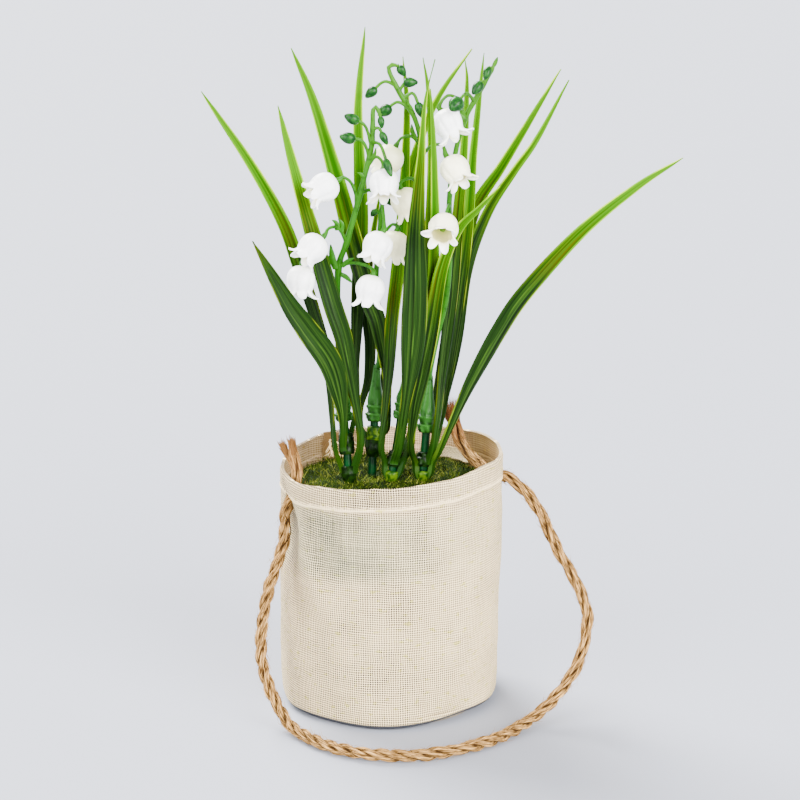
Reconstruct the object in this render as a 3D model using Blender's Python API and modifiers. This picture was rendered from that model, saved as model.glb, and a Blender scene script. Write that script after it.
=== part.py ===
"""An artificial lily of the valley in a round linen bag with a jute rope handle.

Units are metres, +Z is up, and the origin is the middle of the bag's base on the table. The front is -Y.
The lengths below are written in millimetres and scaled once, by MM.
"""

import math

import bmesh
import bpy
import numpy as np
from mathutils import Matrix, Vector

MM = 0.001
PART = "potted_lily_of_the_valley"

# Bag: a round fabric wall with a turned hem, and a sewn base disc
BAG_RADIUS = 42.5
BAG_HEIGHT = 97.3
BAG_RIM_TILT = 3.2
WALL = 1.5
HEM_WIDTH = 8.8
HEM_STEP = 0.6
BASE_RADIUS = 39.3
BASE_THICK = 2.0
WALL_SIDES = 40
CREASE = 0.6
DENT_ANGLE = 200.0
DENT_HEIGHT = 73.0
DENT_DEPTH = 3.0
FOLD_ANGLE = 117.0
FOLD_DEPTH = 3.0
FOLD_RISE = 2.2

# Filling: a foam block with a bed of moss on it
GAP = 0.3
FOAM_RADIUS = 37.6
FILL_SIDES = 24
FOAM_TOP = 84.6
MOSS_RADIUS = 38.8
MOSS_EDGE = 87.6
MOSS_TOP = 89.5

# Jute rope
ROPE_RADIUS = 2.5
ROPE_ROOM = 3.1
ROPE_POINTS = 50

# Stem rods, leaf collars and the ringed sockets of the flower stalks
ROD_RADIUS = 1.6
ROD_DEPTH = 44.0
ROD_IN_SOCKET = 7.0
SOCKET_ROOM = 0.4
COLLAR_RADIUS = 3.05
COLLAR_HOLE = 1.98
LEAF_SEAT = 2.5
LEAF_THICK = 0.7
BLADE_ROWS = 11
BLADE_FOLD = 0.32
BLADE_TIP = 0.25
BROAD = 9.0

# Flower stalks and bells
STALK_BASE = 1.35
STALK_TIP = 0.75
PEDICEL = 0.62
PEDICEL_NECK = 1.8
BELL_LENGTH = 11.6
BELL_RADIUS = 5.6
BELL_WALL = 0.7
BELL_SIDES = 12
LOBES = 6
LOBE_REACH = 1.8
LOBE_START = 9.0

LINEN = ("linen", (0.80, 0.74, 0.63), 0.9)
CARD = ("linen_base", (0.72, 0.66, 0.55), 0.9)
FOAM = ("dry_foam", (0.30, 0.36, 0.20), 0.95)
MOSS = ("moss", (0.24, 0.27, 0.05), 0.95)
JUTE = ("jute", (0.55, 0.34, 0.17), 0.9)
ROD = ("rod_green", (0.01, 0.22, 0.11), 0.45)
LEAF = ("leaf_green", (0.09, 0.27, 0.03), 0.45)
STALK = ("stalk_green", (0.07, 0.36, 0.08), 0.45)
WHITE = ("bell_white", (0.86, 0.87, 0.84), 0.5)


def start_scene():
    """An empty scene with one collection for the parts and one for the cutters."""
    for obj in list(bpy.data.objects):
        bpy.data.objects.remove(obj, do_unlink=True)
    parts = bpy.data.collections.new(PART)
    cutters = bpy.data.collections.new("cutters")
    cutters.hide_render = True
    for collection in (parts, cutters):
        bpy.context.scene.collection.children.link(collection)
    return parts, cutters


def material(finish):
    """The Principled material of a (name, colour, roughness) finish, made once."""
    name, colour, roughness = finish
    made = bpy.data.materials.get(name)
    if made:
        return made
    made = bpy.data.materials.new(name)
    made.use_nodes = True
    shader = made.node_tree.nodes["Principled BSDF"]
    shader.inputs["Base Color"].default_value = (*colour, 1.0)
    shader.inputs["Roughness"].default_value = roughness
    shader.inputs["Metallic"].default_value = 0.0
    return made


def vec(point):
    return Vector(point) * MM


def polar(angle, radius, z=0.0):
    turn = math.radians(angle)
    return Vector((radius * math.cos(turn), radius * math.sin(turn), z))


def hump(value, centre, spread):
    return math.exp(-0.5 * ((value - centre) / spread) ** 2)


def angle_gap(angle, centre):
    return (angle - centre + 180.0) % 360.0 - 180.0


def smooth_route(points, count, ease=1.0):
    """Points on a Catmull-Rom curve through the given ones, closer at the start where ease is over 1."""
    ends = [2 * points[0] - points[1], *points, 2 * points[-1] - points[-2]]
    fine = []
    for a, b, c, d in zip(ends, ends[1:], ends[2:], ends[3:]):
        for step in range(16):
            t = step / 16
            linear = (c - a) * t
            square = (2 * a - 5 * b + 4 * c - d) * t**2
            cube = (3 * b - a - 3 * c + d) * t**3
            fine.append(0.5 * (2 * b + linear + square + cube))
    fine.append(points[-1])
    along = np.concatenate([[0.0], np.cumsum([(q - p).length for p, q in zip(fine, fine[1:])])])
    table = np.array([tuple(p) for p in fine])
    wanted = along[-1] * np.linspace(0.0, 1.0, count) ** ease
    return [Vector([float(np.interp(s, along, table[:, axis])) for axis in range(3)]) for s in wanted]


def mesh_object(name, bm, finish, collection, smooth=True):
    bmesh.ops.recalc_face_normals(bm, faces=bm.faces)
    mesh = bpy.data.meshes.new(name)
    bm.to_mesh(mesh)
    bm.free()
    obj = bpy.data.objects.new(name, mesh)
    collection.objects.link(obj)
    mesh.materials.append(material(finish))
    if smooth:
        mesh.shade_smooth()
        mesh.set_sharp_from_angle(angle=math.radians(40))
    return obj


def evaluated_mesh(obj):
    """The object's mesh with its modifiers, as a new mesh."""
    bpy.context.view_layer.update()
    graph = bpy.context.evaluated_depsgraph_get()
    return bpy.data.meshes.new_from_object(obj.evaluated_get(graph))


def bake(obj):
    """Applies the modifiers of a mesh object."""
    mesh = evaluated_mesh(obj)
    old = obj.data
    obj.modifiers.clear()
    obj.data = mesh
    bpy.data.meshes.remove(old)


def fuse(base, pieces, solver="EXACT"):
    """One Boolean union of the pieces with the base, applied; the pieces are removed."""
    group = bpy.data.collections.new("fusing")
    bpy.context.scene.collection.children.link(group)
    for piece in pieces:
        for owner in list(piece.users_collection):
            owner.objects.unlink(piece)
        group.objects.link(piece)
    union = base.modifiers.new("fuse", "BOOLEAN")
    union.operation = "UNION"
    union.operand_type = "COLLECTION"
    union.collection = group
    union.solver = solver
    bake(base)
    for piece in pieces:
        bpy.data.objects.remove(piece, do_unlink=True)
    bpy.data.collections.remove(group)
    return base


def cut(obj, cutter):
    """A live Boolean cut, with the cutter shown as a wire."""
    cutter.hide_render = True
    cutter.display_type = "WIRE"
    modifier = obj.modifiers.new("cut_" + cutter.name, "BOOLEAN")
    modifier.operation = "DIFFERENCE"
    modifier.object = cutter


def tube(name, points, radius, finish, collection, sides=1, radii=None):
    """A capped tube along the points, as a welded mesh; radii are optional factors for each point."""
    curve = bpy.data.curves.new(name, "CURVE")
    curve.dimensions = "3D"
    curve.bevel_depth = radius * MM
    curve.bevel_resolution = sides
    curve.use_fill_caps = True
    spline = curve.splines.new("POLY")
    spline.points.add(len(points) - 1)
    for index, point in enumerate(points):
        spline.points[index].co = (*vec(point), 1.0)
        spline.points[index].radius = 1.0 if radii is None else radii[index]
    holder = bpy.data.objects.new(name, curve)
    collection.objects.link(holder)
    mesh = evaluated_mesh(holder)
    bpy.data.objects.remove(holder, do_unlink=True)
    bpy.data.curves.remove(curve)
    bm = bmesh.new()
    bm.from_mesh(mesh)
    bpy.data.meshes.remove(mesh)
    bmesh.ops.remove_doubles(bm, verts=bm.verts, dist=0.02 * MM)
    return mesh_object(name, bm, finish, collection)


def rod_between(name, start, end, radius, finish, collection, sides=10):
    """A round bar between two points."""
    axis = end - start
    bm = bmesh.new()
    turn = axis.to_track_quat("Z", "Y").to_matrix().to_4x4()
    place = Matrix.Translation(vec((start + end) / 2)) @ turn
    bmesh.ops.create_cone(
        bm, cap_ends=True, segments=sides, radius1=radius * MM, radius2=radius * MM,
        depth=axis.length * MM, matrix=place,
    )
    return mesh_object(name, bm, finish, collection)


def turned(name, profile, steps, finish, collection):
    """A solid or open shell of revolution about Z; the profile runs down its outer side."""
    mesh = bpy.data.meshes.new(name)
    points = [tuple(vec((radius, 0.0, z))) for radius, z in profile]
    mesh.from_pydata(points, [(i, i + 1) for i in range(len(points) - 1)], [])
    obj = bpy.data.objects.new(name, mesh)
    collection.objects.link(obj)
    screw = obj.modifiers.new("turn", "SCREW")
    screw.axis = "Z"
    screw.steps = steps
    screw.render_steps = steps
    screw.use_merge_vertices = True
    screw.merge_threshold = 0.00001
    bake(obj)
    obj.data.materials.append(material(finish))
    obj.data.shade_smooth()
    obj.data.set_sharp_from_angle(angle=math.radians(40))
    return obj


# Bag


def rim_height(angle):
    """Height of the bag's rim, which tips up to the right and has a raised fold at the back."""
    tilt = BAG_RIM_TILT * math.cos(math.radians(angle))
    return BAG_HEIGHT + tilt + FOLD_RISE * hump(angle_gap(angle, FOLD_ANGLE), 0.0, 11.0)


def wall_radius(angle, z):
    """Outer radius of the bag's wall below the hem."""
    share = z / BAG_HEIGHT
    radius = BAG_RADIUS + share * (1.0 + 0.9 * math.cos(math.radians(angle)))
    radius += 0.5 * math.sin(math.pi * share)
    radius += CREASE * share**2 * math.sin(math.radians(3.0 * angle + 40.0))
    dent = hump(angle_gap(angle, DENT_ANGLE), 0.0, 13.0) * hump(z, DENT_HEIGHT, 9.0)
    fold = hump(angle_gap(angle, FOLD_ANGLE), 0.0, 8.0) * share**8
    return radius - DENT_DEPTH * dent - FOLD_DEPTH * fold


def bag_wall(parts, rope_cutters):
    """The fabric wall, an open shell given its thickness inwards."""
    hem = 1.0 - HEM_WIDTH / BAG_HEIGHT
    rows = [(0.004, -1.1), (0.02, -0.2), (0.07, 0.0), (0.3, 0.0), (0.5, 0.0), (0.64, 0.0), (0.74, 0.0)]
    rows += [(0.83, 0.0), (hem, 0.0), (hem + 0.006, HEM_STEP), (1.0, HEM_STEP)]
    bm = bmesh.new()
    ring = bmesh.ops.create_circle(bm, segments=WALL_SIDES, radius=BAG_RADIUS * MM)["verts"]
    edges = list(bm.edges)
    angles = {vert: math.degrees(math.atan2(vert.co.y, vert.co.x)) for vert in ring}
    for index, (share, step) in enumerate(rows):
        if index:
            made = bmesh.ops.extrude_edge_only(bm, edges=edges)["geom"]
            ring = [item for item in made if isinstance(item, bmesh.types.BMVert)]
            edges = [item for item in made if isinstance(item, bmesh.types.BMEdge)]
            angles = {vert: math.degrees(math.atan2(vert.co.y, vert.co.x)) for vert in ring}
        for vert in ring:
            angle = angles[vert]
            z = share * rim_height(angle)
            vert.co = vec(polar(angle, wall_radius(angle, z) + step, z))
    wall = mesh_object("bag_wall", bm, LINEN, parts)
    solid = wall.modifiers.new("cloth", "SOLIDIFY")
    solid.thickness = WALL * MM
    solid.offset = -1.0
    for cutter in rope_cutters:
        cut(wall, cutter)
    return wall


def bag_base(parts):
    """The round base panel that the bag stands on."""
    edge = 0.5
    profile = [(0.0, BASE_THICK), (BASE_RADIUS, BASE_THICK), (BASE_RADIUS, edge)]
    profile += [(BASE_RADIUS - edge, 0.0), (0.0, 0.0)]
    return turned("bag_base", profile, WALL_SIDES, CARD, parts)


# Filling


def foam_block(parts, cutters):
    """The foam that fills the bag and holds the rods."""
    bottom = BASE_THICK + GAP
    chamfer = 2.0
    profile = [(0.0, FOAM_TOP), (FOAM_RADIUS - chamfer, FOAM_TOP), (FOAM_RADIUS, FOAM_TOP - chamfer)]
    profile += [(FOAM_RADIUS, bottom + chamfer), (FOAM_RADIUS - chamfer, bottom), (0.0, bottom)]
    foam = turned("foam_block", profile, FILL_SIDES, FOAM, parts)
    for cutter in cutters:
        cut(foam, cutter)
    return foam


def moss_height(x, y):
    """Top of the moss, a low dome with soft bumps."""
    share = math.hypot(x, y) / MOSS_RADIUS
    bumps = 0.35 * math.sin(0.31 * x + 1.0) * math.cos(0.27 * y) + 0.2 * math.sin(0.55 * y - 0.4 * x)
    return MOSS_TOP + (MOSS_EDGE - MOSS_TOP) * share**2 + bumps


def moss_bed(parts, cutters):
    """The disc of moss on the foam, with a bumpy top."""
    bottom = FOAM_TOP + GAP
    radii = [0.0, 9.0, 18.0, 27.0, 34.0, MOSS_RADIUS - 0.8, MOSS_RADIUS]
    top = [(radius, MOSS_EDGE) for radius in radii]
    profile = top + [(MOSS_RADIUS - 0.4, bottom + 0.8), (MOSS_RADIUS - 1.2, bottom), (0.0, bottom)]
    moss = turned("moss_bed", profile, FILL_SIDES, MOSS, parts)
    for vert in moss.data.vertices:
        x, y, z = vert.co / MM
        if z > MOSS_EDGE - 0.1:
            drop = 1.2 * hump(math.hypot(x, y), MOSS_RADIUS, 1.0)
            vert.co.z = (moss_height(x, y) - drop) * MM
    for cutter in cutters:
        cut(moss, cutter)
    return moss


# Rope

# The route runs from the left tail, out through the left hole, round the front and in through the right hole
LEFT_TAIL = [(-39.5, -2.0, 107.0), (-37.5, -4.5, 100.5), (-35.3, -8.0, 93.0), (-35.8, -11.5, 86.5)]
LEFT_HOLE = [(-38.8, -14.6, 81.6), (-39.8, -16.2, 77.0)]
LEFT_SIDE = [(-40.2, -18.3, 68.5), (-42.9, -20.4, 60.0), (-46.1, -23.0, 50.6), (-48.4, -26.0, 38.6)]
LEFT_DOWN = [(-48.9, -29.0, 26.2), (-46.8, -32.0, 17.5), (-42.5, -37.5, 9.0), (-37.0, -44.5, 3.4)]
FRONT = [(-30.0, -54.0, 2.8), (-21.6, -62.6, 2.8), (-8.0, -69.8, 2.8), (8.3, -71.6, 2.8), (22.0, -67.8, 2.8)]
FRONT_RIGHT = [(33.0, -61.6, 2.8), (45.0, -51.0, 2.8), (55.5, -39.0, 4.4), (64.5, -33.0, 10.5)]
RIGHT_SIDE = [(73.0, -26.0, 20.5), (77.0, -20.5, 33.0), (76.6, -17.0, 42.3), (71.9, -13.0, 52.8)]
RIGHT_DOWN = [(65.6, -10.5, 63.5), (59.4, -7.5, 76.5), (52.6, -4.8, 85.6), (47.2, -2.6, 89.4)]
RIGHT_HOLE = [(42.5, -0.5, 90.4), (38.5, 5.0, 91.2)]
RIGHT_TAIL = [(33.5, 13.0, 93.0), (29.0, 21.0, 97.0), (26.5, 27.0, 102.5), (25.0, 30.5, 109.0)]
ROUTE = LEFT_TAIL + LEFT_HOLE + LEFT_SIDE + LEFT_DOWN + FRONT + FRONT_RIGHT
ROUTE += RIGHT_SIDE + RIGHT_DOWN + RIGHT_HOLE + RIGHT_TAIL


def rope_route():
    return smooth_route([Vector(point) for point in ROUTE], ROPE_POINTS)


def rope(parts):
    """The rope handle, one tube from tail to tail."""
    return tube("jute_rope", rope_route(), ROPE_RADIUS, JUTE, parts, sides=2)


def rope_cutters(cutters):
    """Room for the rope in the wall, the moss and the foam, at its two ends."""
    route = rope_route()
    left = [point for point in route if point.x < -30.0 and point.z > 66.0]
    right = [point for point in route if point.x < 52.0 and point.y > -5.0 and point.x > 0.0]
    made = []
    for side, points in (("left", left), ("right", right)):
        made.append(tube("rope_room_" + side, points, ROPE_ROOM, JUTE, cutters, sides=2))
    return made


# Rods, leaves and collars

# For each plant: the rod where it leaves the moss, and the foot of the flower stalk's socket on it
PLANTS = {
    "a": ((-15.0, -6.0, 89.5), (-17.0, -3.0, 112.6)),
    "b": ((-6.4, 0.5, 89.5), (-5.4, 4.0, 110.6)),
    "c": ((1.2, -5.0, 89.5), (4.9, -1.0, 112.8)),
    "d": ((13.5, -5.0, 89.5), (14.7, -2.0, 107.8)),
}


def rod_axis(plant):
    """A point on the rod at the moss, and the rod's direction."""
    foot, top = (Vector(point) for point in PLANTS[plant])
    return foot, (top - foot).normalized()


def rod_at(plant, z):
    """The rod's centre at a height."""
    foot, way = rod_axis(plant)
    return foot + way * ((z - foot.z) / way.z)


def stem_rod(plant, parts, cutters):
    """The green rod of a plant, pushed into the foam, and the hole it stands in."""
    foot, way = rod_axis(plant)
    top = Vector(PLANTS[plant][1]) + way * ROD_IN_SOCKET
    bottom = foot - way * ROD_DEPTH
    rod_between("rod_" + plant, bottom, top, ROD_RADIUS, ROD, parts)
    room = ROD_RADIUS + SOCKET_ROOM
    return rod_between("hole_" + plant, bottom - way * GAP, foot + way * 6.0, room, ROD, cutters, sides=12)


def blade_share(t, petiole):
    """Half width of a blade along its length, as a share of its widest: narrow, then a belly and a point."""
    rise = 1.0 / (1.0 + math.exp(-(t - 0.2) / 0.05))
    belly = math.sin(math.pi * min(1.0, (t + 0.1) / 1.1)) ** 1.3 if t < 1.0 else 0.0
    return petiole * (1.0 - rise) + belly * rise


def blade(name, route, side, width, face, petiole, collection):
    """A folded strap leaf along a route.

    side is the side of the rod that the root lies flat against, width the widest breadth, and face the
    compass directions of the upper side near the root and at the tip.
    """
    across = 4 if width > BROAD else 2
    line = smooth_route([Vector(point) for point in route], BLADE_ROWS + 1, ease=1.3)
    flat = side if abs(angle_gap(side, face[0])) <= 90.0 else side + 180.0
    twist = angle_gap(flat, face[0])
    bm = bmesh.new()
    bmesh.ops.create_grid(bm, x_segments=across, y_segments=BLADE_ROWS, size=1.0)
    for vert in bm.verts:
        offset = vert.co.x
        index = round((vert.co.y + 1.0) / 2.0 * BLADE_ROWS)
        t = (index / BLADE_ROWS) ** 1.3
        root = max(0.0, 1.0 - t / 0.16)
        before, after = line[max(index - 1, 0)], line[min(index + 1, BLADE_ROWS)]
        tangent = (after - before).normalized()
        outward = polar(face[0] + (face[1] - face[0]) * t + twist * root, 1.0)
        breadth = tangent.cross(outward).normalized()
        normal = breadth.cross(tangent)
        half = max(width / 2.0 * blade_share(t, petiole), BLADE_TIP)
        rise = BLADE_FOLD * (1.0 - root) * (half - BLADE_TIP) * abs(offset)
        vert.co = vec(line[index] + breadth * (offset * half) + normal * rise)
    bmesh.ops.triangulate(bm, faces=bm.faces)
    leaf = mesh_object(name, bm, LEAF, collection)
    solid = leaf.modifiers.new("thickness", "SOLIDIFY")
    solid.thickness = LEAF_THICK * MM
    solid.offset = 0.0
    bake(leaf)
    return leaf


def collar(name, plant, bottom, height, collection):
    """The moulded ring that a tuft's leaves grow from, round the rod."""
    foot, way = rod_axis(plant)
    profile = [(COLLAR_HOLE, height), (COLLAR_RADIUS - 0.4, height), (COLLAR_RADIUS, height - 1.0)]
    profile += [(COLLAR_RADIUS, 1.2), (COLLAR_RADIUS - 0.7, 0.0), (COLLAR_HOLE, 0.0), (COLLAR_HOLE, height)]
    ring = turned(name, profile, 12, LEAF, collection)
    bm = bmesh.new()
    bm.from_mesh(ring.data)
    bmesh.ops.remove_doubles(bm, verts=bm.verts, dist=0.01 * MM)
    turn = way.to_track_quat("Z", "Y").to_matrix().to_4x4()
    bm.transform(Matrix.Translation(vec(rod_at(plant, bottom))) @ turn)
    bmesh.ops.recalc_face_normals(bm, faces=bm.faces)
    bm.to_mesh(ring.data)
    bm.free()
    return ring


# For each leaf: the side of the rod it grows from, its points above the collar, its width, the way it faces
# near the root and at the tip, and the share of its width that the root has
LEFT_LONG = [(-20.4, -7.4, 103.0), (-21.2, -7.4, 113.0), (-22.0, -6.5, 126.0), (-23.3, -4.5, 140.1)]
LEFT_LONG += [(-28.3, -1.5, 157.1), (-34.0, 0.0, 174.6), (-39.7, 0.0, 190.5), (-51.3, -1.0, 212.0)]
LEFT_LONG += [(-69.6, -3.0, 240.2)]
LEFT_INNER = [(-10.6, -8.0, 106.0), (-12.6, -9.0, 122.0), (-17.0, -11.0, 147.0), (-21.5, -11.0, 162.0)]
LEFT_INNER += [(-30.7, -9.0, 196.0), (-35.0, -7.0, 211.5), (-41.0, -4.0, 235.0)]
LEFT_SHORT = [(-17.5, -11.0, 119.5), (-21.5, -14.5, 138.0), (-30.8, -18.0, 153.0), (-37.5, -20.0, 163.5)]
LEFT_SHORT += [(-50.0, -24.0, 187.5)]
TALL_BACK = [(-12.2, 2.0, 120.0), (-12.6, 4.0, 134.0), (-12.0, 6.0, 152.5), (-10.3, 8.0, 188.5)]
TALL_BACK += [(-10.8, 9.0, 209.0), (-11.2, 10.0, 234.0), (-8.6, 12.0, 262.5)]
NARROW_BACK = [(-10.6, 3.0, 108.0), (-10.8, 5.5, 116.0), (-7.8, 10.0, 126.0), (-7.0, 10.0, 140.0)]
NARROW_BACK += [(-8.2, 10.0, 154.0), (-7.4, 10.0, 172.0), (-3.0, 11.0, 200.0)]
TALL_LEFT = [(-0.6, 2.0, 108.0), (0.0, 1.5, 116.5), (-0.6, 0.5, 131.0), (-3.7, 0.0, 150.0)]
TALL_LEFT += [(-7.0, 0.0, 160.0), (-12.9, 1.0, 181.5), (-19.3, 2.0, 206.5), (-28.0, 3.0, 236.0)]
TALL_LEFT += [(-36.2, 4.0, 255.5)]
CROSSING = [(-4.5, 10.5, 112.0), (-2.0, 15.5, 125.0), (2.6, 20.0, 155.0), (6.5, 24.0, 194.0)]
CROSSING += [(12.3, 26.0, 217.5), (19.7, 27.0, 234.5), (32.3, 28.0, 252.5)]
MIDDLE_BACK = [(-2.6, -7.0, 103.0), (-1.2, -6.5, 117.9), (0.3, -5.0, 133.5), (1.6, -2.6, 153.2)]
MIDDLE_BACK += [(4.6, 4.6, 179.6), (6.3, 10.0, 202.8), (7.2, 12.5, 232.5), (5.7, 12.5, 251.3)]
MIDDLE_BROAD = [(4.0, -10.5, 104.0), (6.0, -14.0, 117.6), (8.8, -17.5, 139.1), (10.2, -19.0, 163.3)]
MIDDLE_BROAD += [(10.6, -18.4, 190.6), (12.4, -19.0, 217.5), (13.9, -19.0, 238.8), (17.4, -18.0, 253.9)]
MIDDLE_EDGE = [(8.5, -4.0, 103.1), (12.0, -6.0, 121.8), (14.9, -8.0, 144.3), (16.8, -10.5, 166.0)]
MIDDLE_EDGE += [(17.4, -13.0, 186.3), (17.6, -17.0, 201.8), (16.9, -19.0, 224.2), (15.8, -19.0, 243.3)]
MIDDLE_THIN = [(8.2, 3.0, 105.0), (11.2, 6.0, 120.0), (13.4, 9.0, 150.0), (16.0, 11.0, 190.0)]
MIDDLE_THIN += [(16.4, 12.0, 216.0), (15.2, 12.0, 239.0), (13.3, 12.0, 251.0)]
RIGHT_FRONT = [(8.8, -9.5, 104.4), (10.3, -12.5, 120.4), (12.8, -13.3, 133.1), (16.0, -13.3, 150.7)]
RIGHT_FRONT += [(20.0, -13.3, 174.4), (26.3, -12.0, 189.4), (34.1, -14.0, 197.9), (41.8, -16.0, 206.5)]
RIGHT_TALL = [(17.5, -7.0, 104.0), (19.5, -5.5, 118.0), (21.0, -2.5, 133.0), (24.6, 1.0, 165.0)]
RIGHT_TALL += [(26.7, 3.0, 193.0), (28.8, 4.0, 217.0), (29.8, 4.0, 242.0), (29.0, 4.0, 251.0)]
RIGHT_TALL_BACK = [(18.8, 1.0, 104.0), (21.5, 4.5, 115.0), (23.6, 8.0, 128.0), (27.5, 12.0, 157.0)]
RIGHT_TALL_BACK += [(30.8, 13.0, 186.0), (32.5, 13.0, 212.5), (34.3, 12.0, 232.0), (36.3, 10.0, 253.0)]
RIGHT_ARCH_BACK = [(14.5, 6.5, 104.0), (18.5, 12.0, 118.0), (23.0, 17.5, 140.0), (27.3, 22.0, 167.0)]
RIGHT_ARCH_BACK += [(33.9, 26.0, 191.0), (44.0, 29.0, 206.5), (57.0, 32.0, 227.5), (67.0, 34.0, 244.0)]
RIGHT_ARCH = [(18.5, 5.5, 105.0), (22.5, 9.5, 120.0), (26.6, 14.0, 141.0), (30.2, 18.0, 168.0)]
RIGHT_ARCH += [(38.4, 21.0, 190.0), (48.7, 22.0, 206.0), (57.5, 23.0, 218.5), (69.5, 24.0, 241.0)]
RIGHT_LONG = [(19.8, -7.5, 102.0), (24.6, -8.5, 113.5), (31.4, -8.5, 129.4), (41.9, -9.0, 149.6)]
RIGHT_LONG += [(52.3, -9.0, 165.4), (73.2, -8.0, 188.4), (94.0, -6.0, 205.0), (110.8, -5.0, 215.5)]
TUFTS = {
    "tuft_a_lower": ("a", 91.0, 4.5, [
        (185, LEFT_LONG, 5.8, (-150, -80), 0.35),
        (-25, LEFT_INNER, 7.2, (-60, -85), 0.3),
    ]),
    "tuft_a_upper": ("a", 100.0, 5.0, [
        (-110, LEFT_SHORT, 9.0, (-100, -60), 0.3),
        (60, TALL_BACK, 5.4, (-70, -95), 0.3),
    ]),
    "tuft_b": ("b", 99.0, 6.0, [
        (180, NARROW_BACK, 4.2, (-90, -95), 0.45),
        (-10, TALL_LEFT, 7.2, (-80, -100), 0.3),
        (90, CROSSING, 4.8, (-110, -60), 0.35),
    ]),
    "tuft_c": ("c", 91.0, 6.5, [
        (190, MIDDLE_BACK, 5.0, (-100, -80), 0.45),
        (-90, MIDDLE_BROAD, 10.6, (-90, -90), 0.3),
        (-20, MIDDLE_EDGE, 4.2, (-60, -100), 0.45),
        (60, MIDDLE_THIN, 4.2, (-60, -80), 0.45),
    ]),
    "tuft_d": ("d", 91.0, 6.5, [
        (195, RIGHT_FRONT, 6.2, (-120, -60), 0.45),
        (-50, RIGHT_TALL, 4.8, (-80, -90), 0.4),
        (20, RIGHT_TALL_BACK, 4.6, (-110, -90), 0.4),
        (100, RIGHT_ARCH_BACK, 5.4, (-110, -75), 0.35),
        (60, RIGHT_ARCH, 5.0, (-80, -60), 0.35),
        (-20, RIGHT_LONG, 6.2, (-75, -95), 0.35),
    ]),
}


def tuft(name, parts):
    """A collar with the leaves that grow from it, as one solid."""
    plant, bottom, height, leaves = TUFTS[name]
    ring = collar(name, plant, bottom, height, parts)
    blades = []
    for index, (side, points, width, face, petiole) in enumerate(leaves):
        out = polar(side, LEAF_SEAT)
        seat = rod_at(plant, bottom + 1.6) + out
        lift = rod_at(plant, bottom + height) + out * 1.15
        blades.append(blade(f"{name}_{index}", [seat, lift, *points], side, width, face, petiole, parts))
    return fuse(ring, blades)


# Flower stalks

# The stalk's points above its socket, for each plant
STALK_A = [(-19.0, -3.0, 145.0), (-19.3, -4.0, 161.0), (-18.5, -5.5, 174.8), (-15.4, -7.0, 184.2)]
STALK_A += [(-10.4, -8.0, 202.3), (-6.2, -8.0, 219.3), (-5.6, -8.0, 228.0), (-5.4, -8.0, 233.8)]
STALK_A += [(-4.1, -8.0, 235.0), (-3.0, -8.2, 232.4)]
STALK_B = [(-3.2, 5.0, 135.0), (-3.0, 5.2, 148.0), (-4.6, 4.6, 163.0), (-4.0, 4.2, 177.0), (-3.0, 4.0, 188.0)]
STALK_B += [(-2.2, 4.0, 196.0), (-1.2, 4.0, 199.0)]
STALK_C = [(6.2, 1.5, 140.0), (7.6, 4.0, 153.0), (9.6, 6.5, 178.0), (11.8, 8.0, 204.0), (12.4, 8.0, 219.0)]
STALK_C += [(9.9, 8.0, 229.2), (5.0, 8.0, 237.3), (0.6, 8.0, 246.0), (0.9, 8.0, 248.6), (3.4, 8.0, 248.6)]
STALK_D = [(16.0, -3.0, 133.0), (18.9, -4.5, 148.0), (21.8, -5.5, 160.4), (23.2, -6.0, 174.8)]
STALK_D += [(23.2, -5.5, 199.6), (25.3, -5.0, 217.0), (28.9, -5.0, 230.1), (34.8, -5.0, 241.3)]
STALK_D += [(39.5, -5.0, 250.2)]
STALKS = {"a": STALK_A, "b": STALK_B, "c": STALK_C, "d": STALK_D}

# Radius of the ringed socket at heights above its foot, below the plain stalk
SOCKET = [(0.0, 2.5), (1.0, 3.1), (2.2, 3.4), (3.2, 2.9), (4.6, 3.4), (5.8, 2.9), (7.6, 3.1), (11.0, 2.6)]
SOCKET += [(16.0, 1.8)]
SOCKET_LENGTH = 21.0

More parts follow.
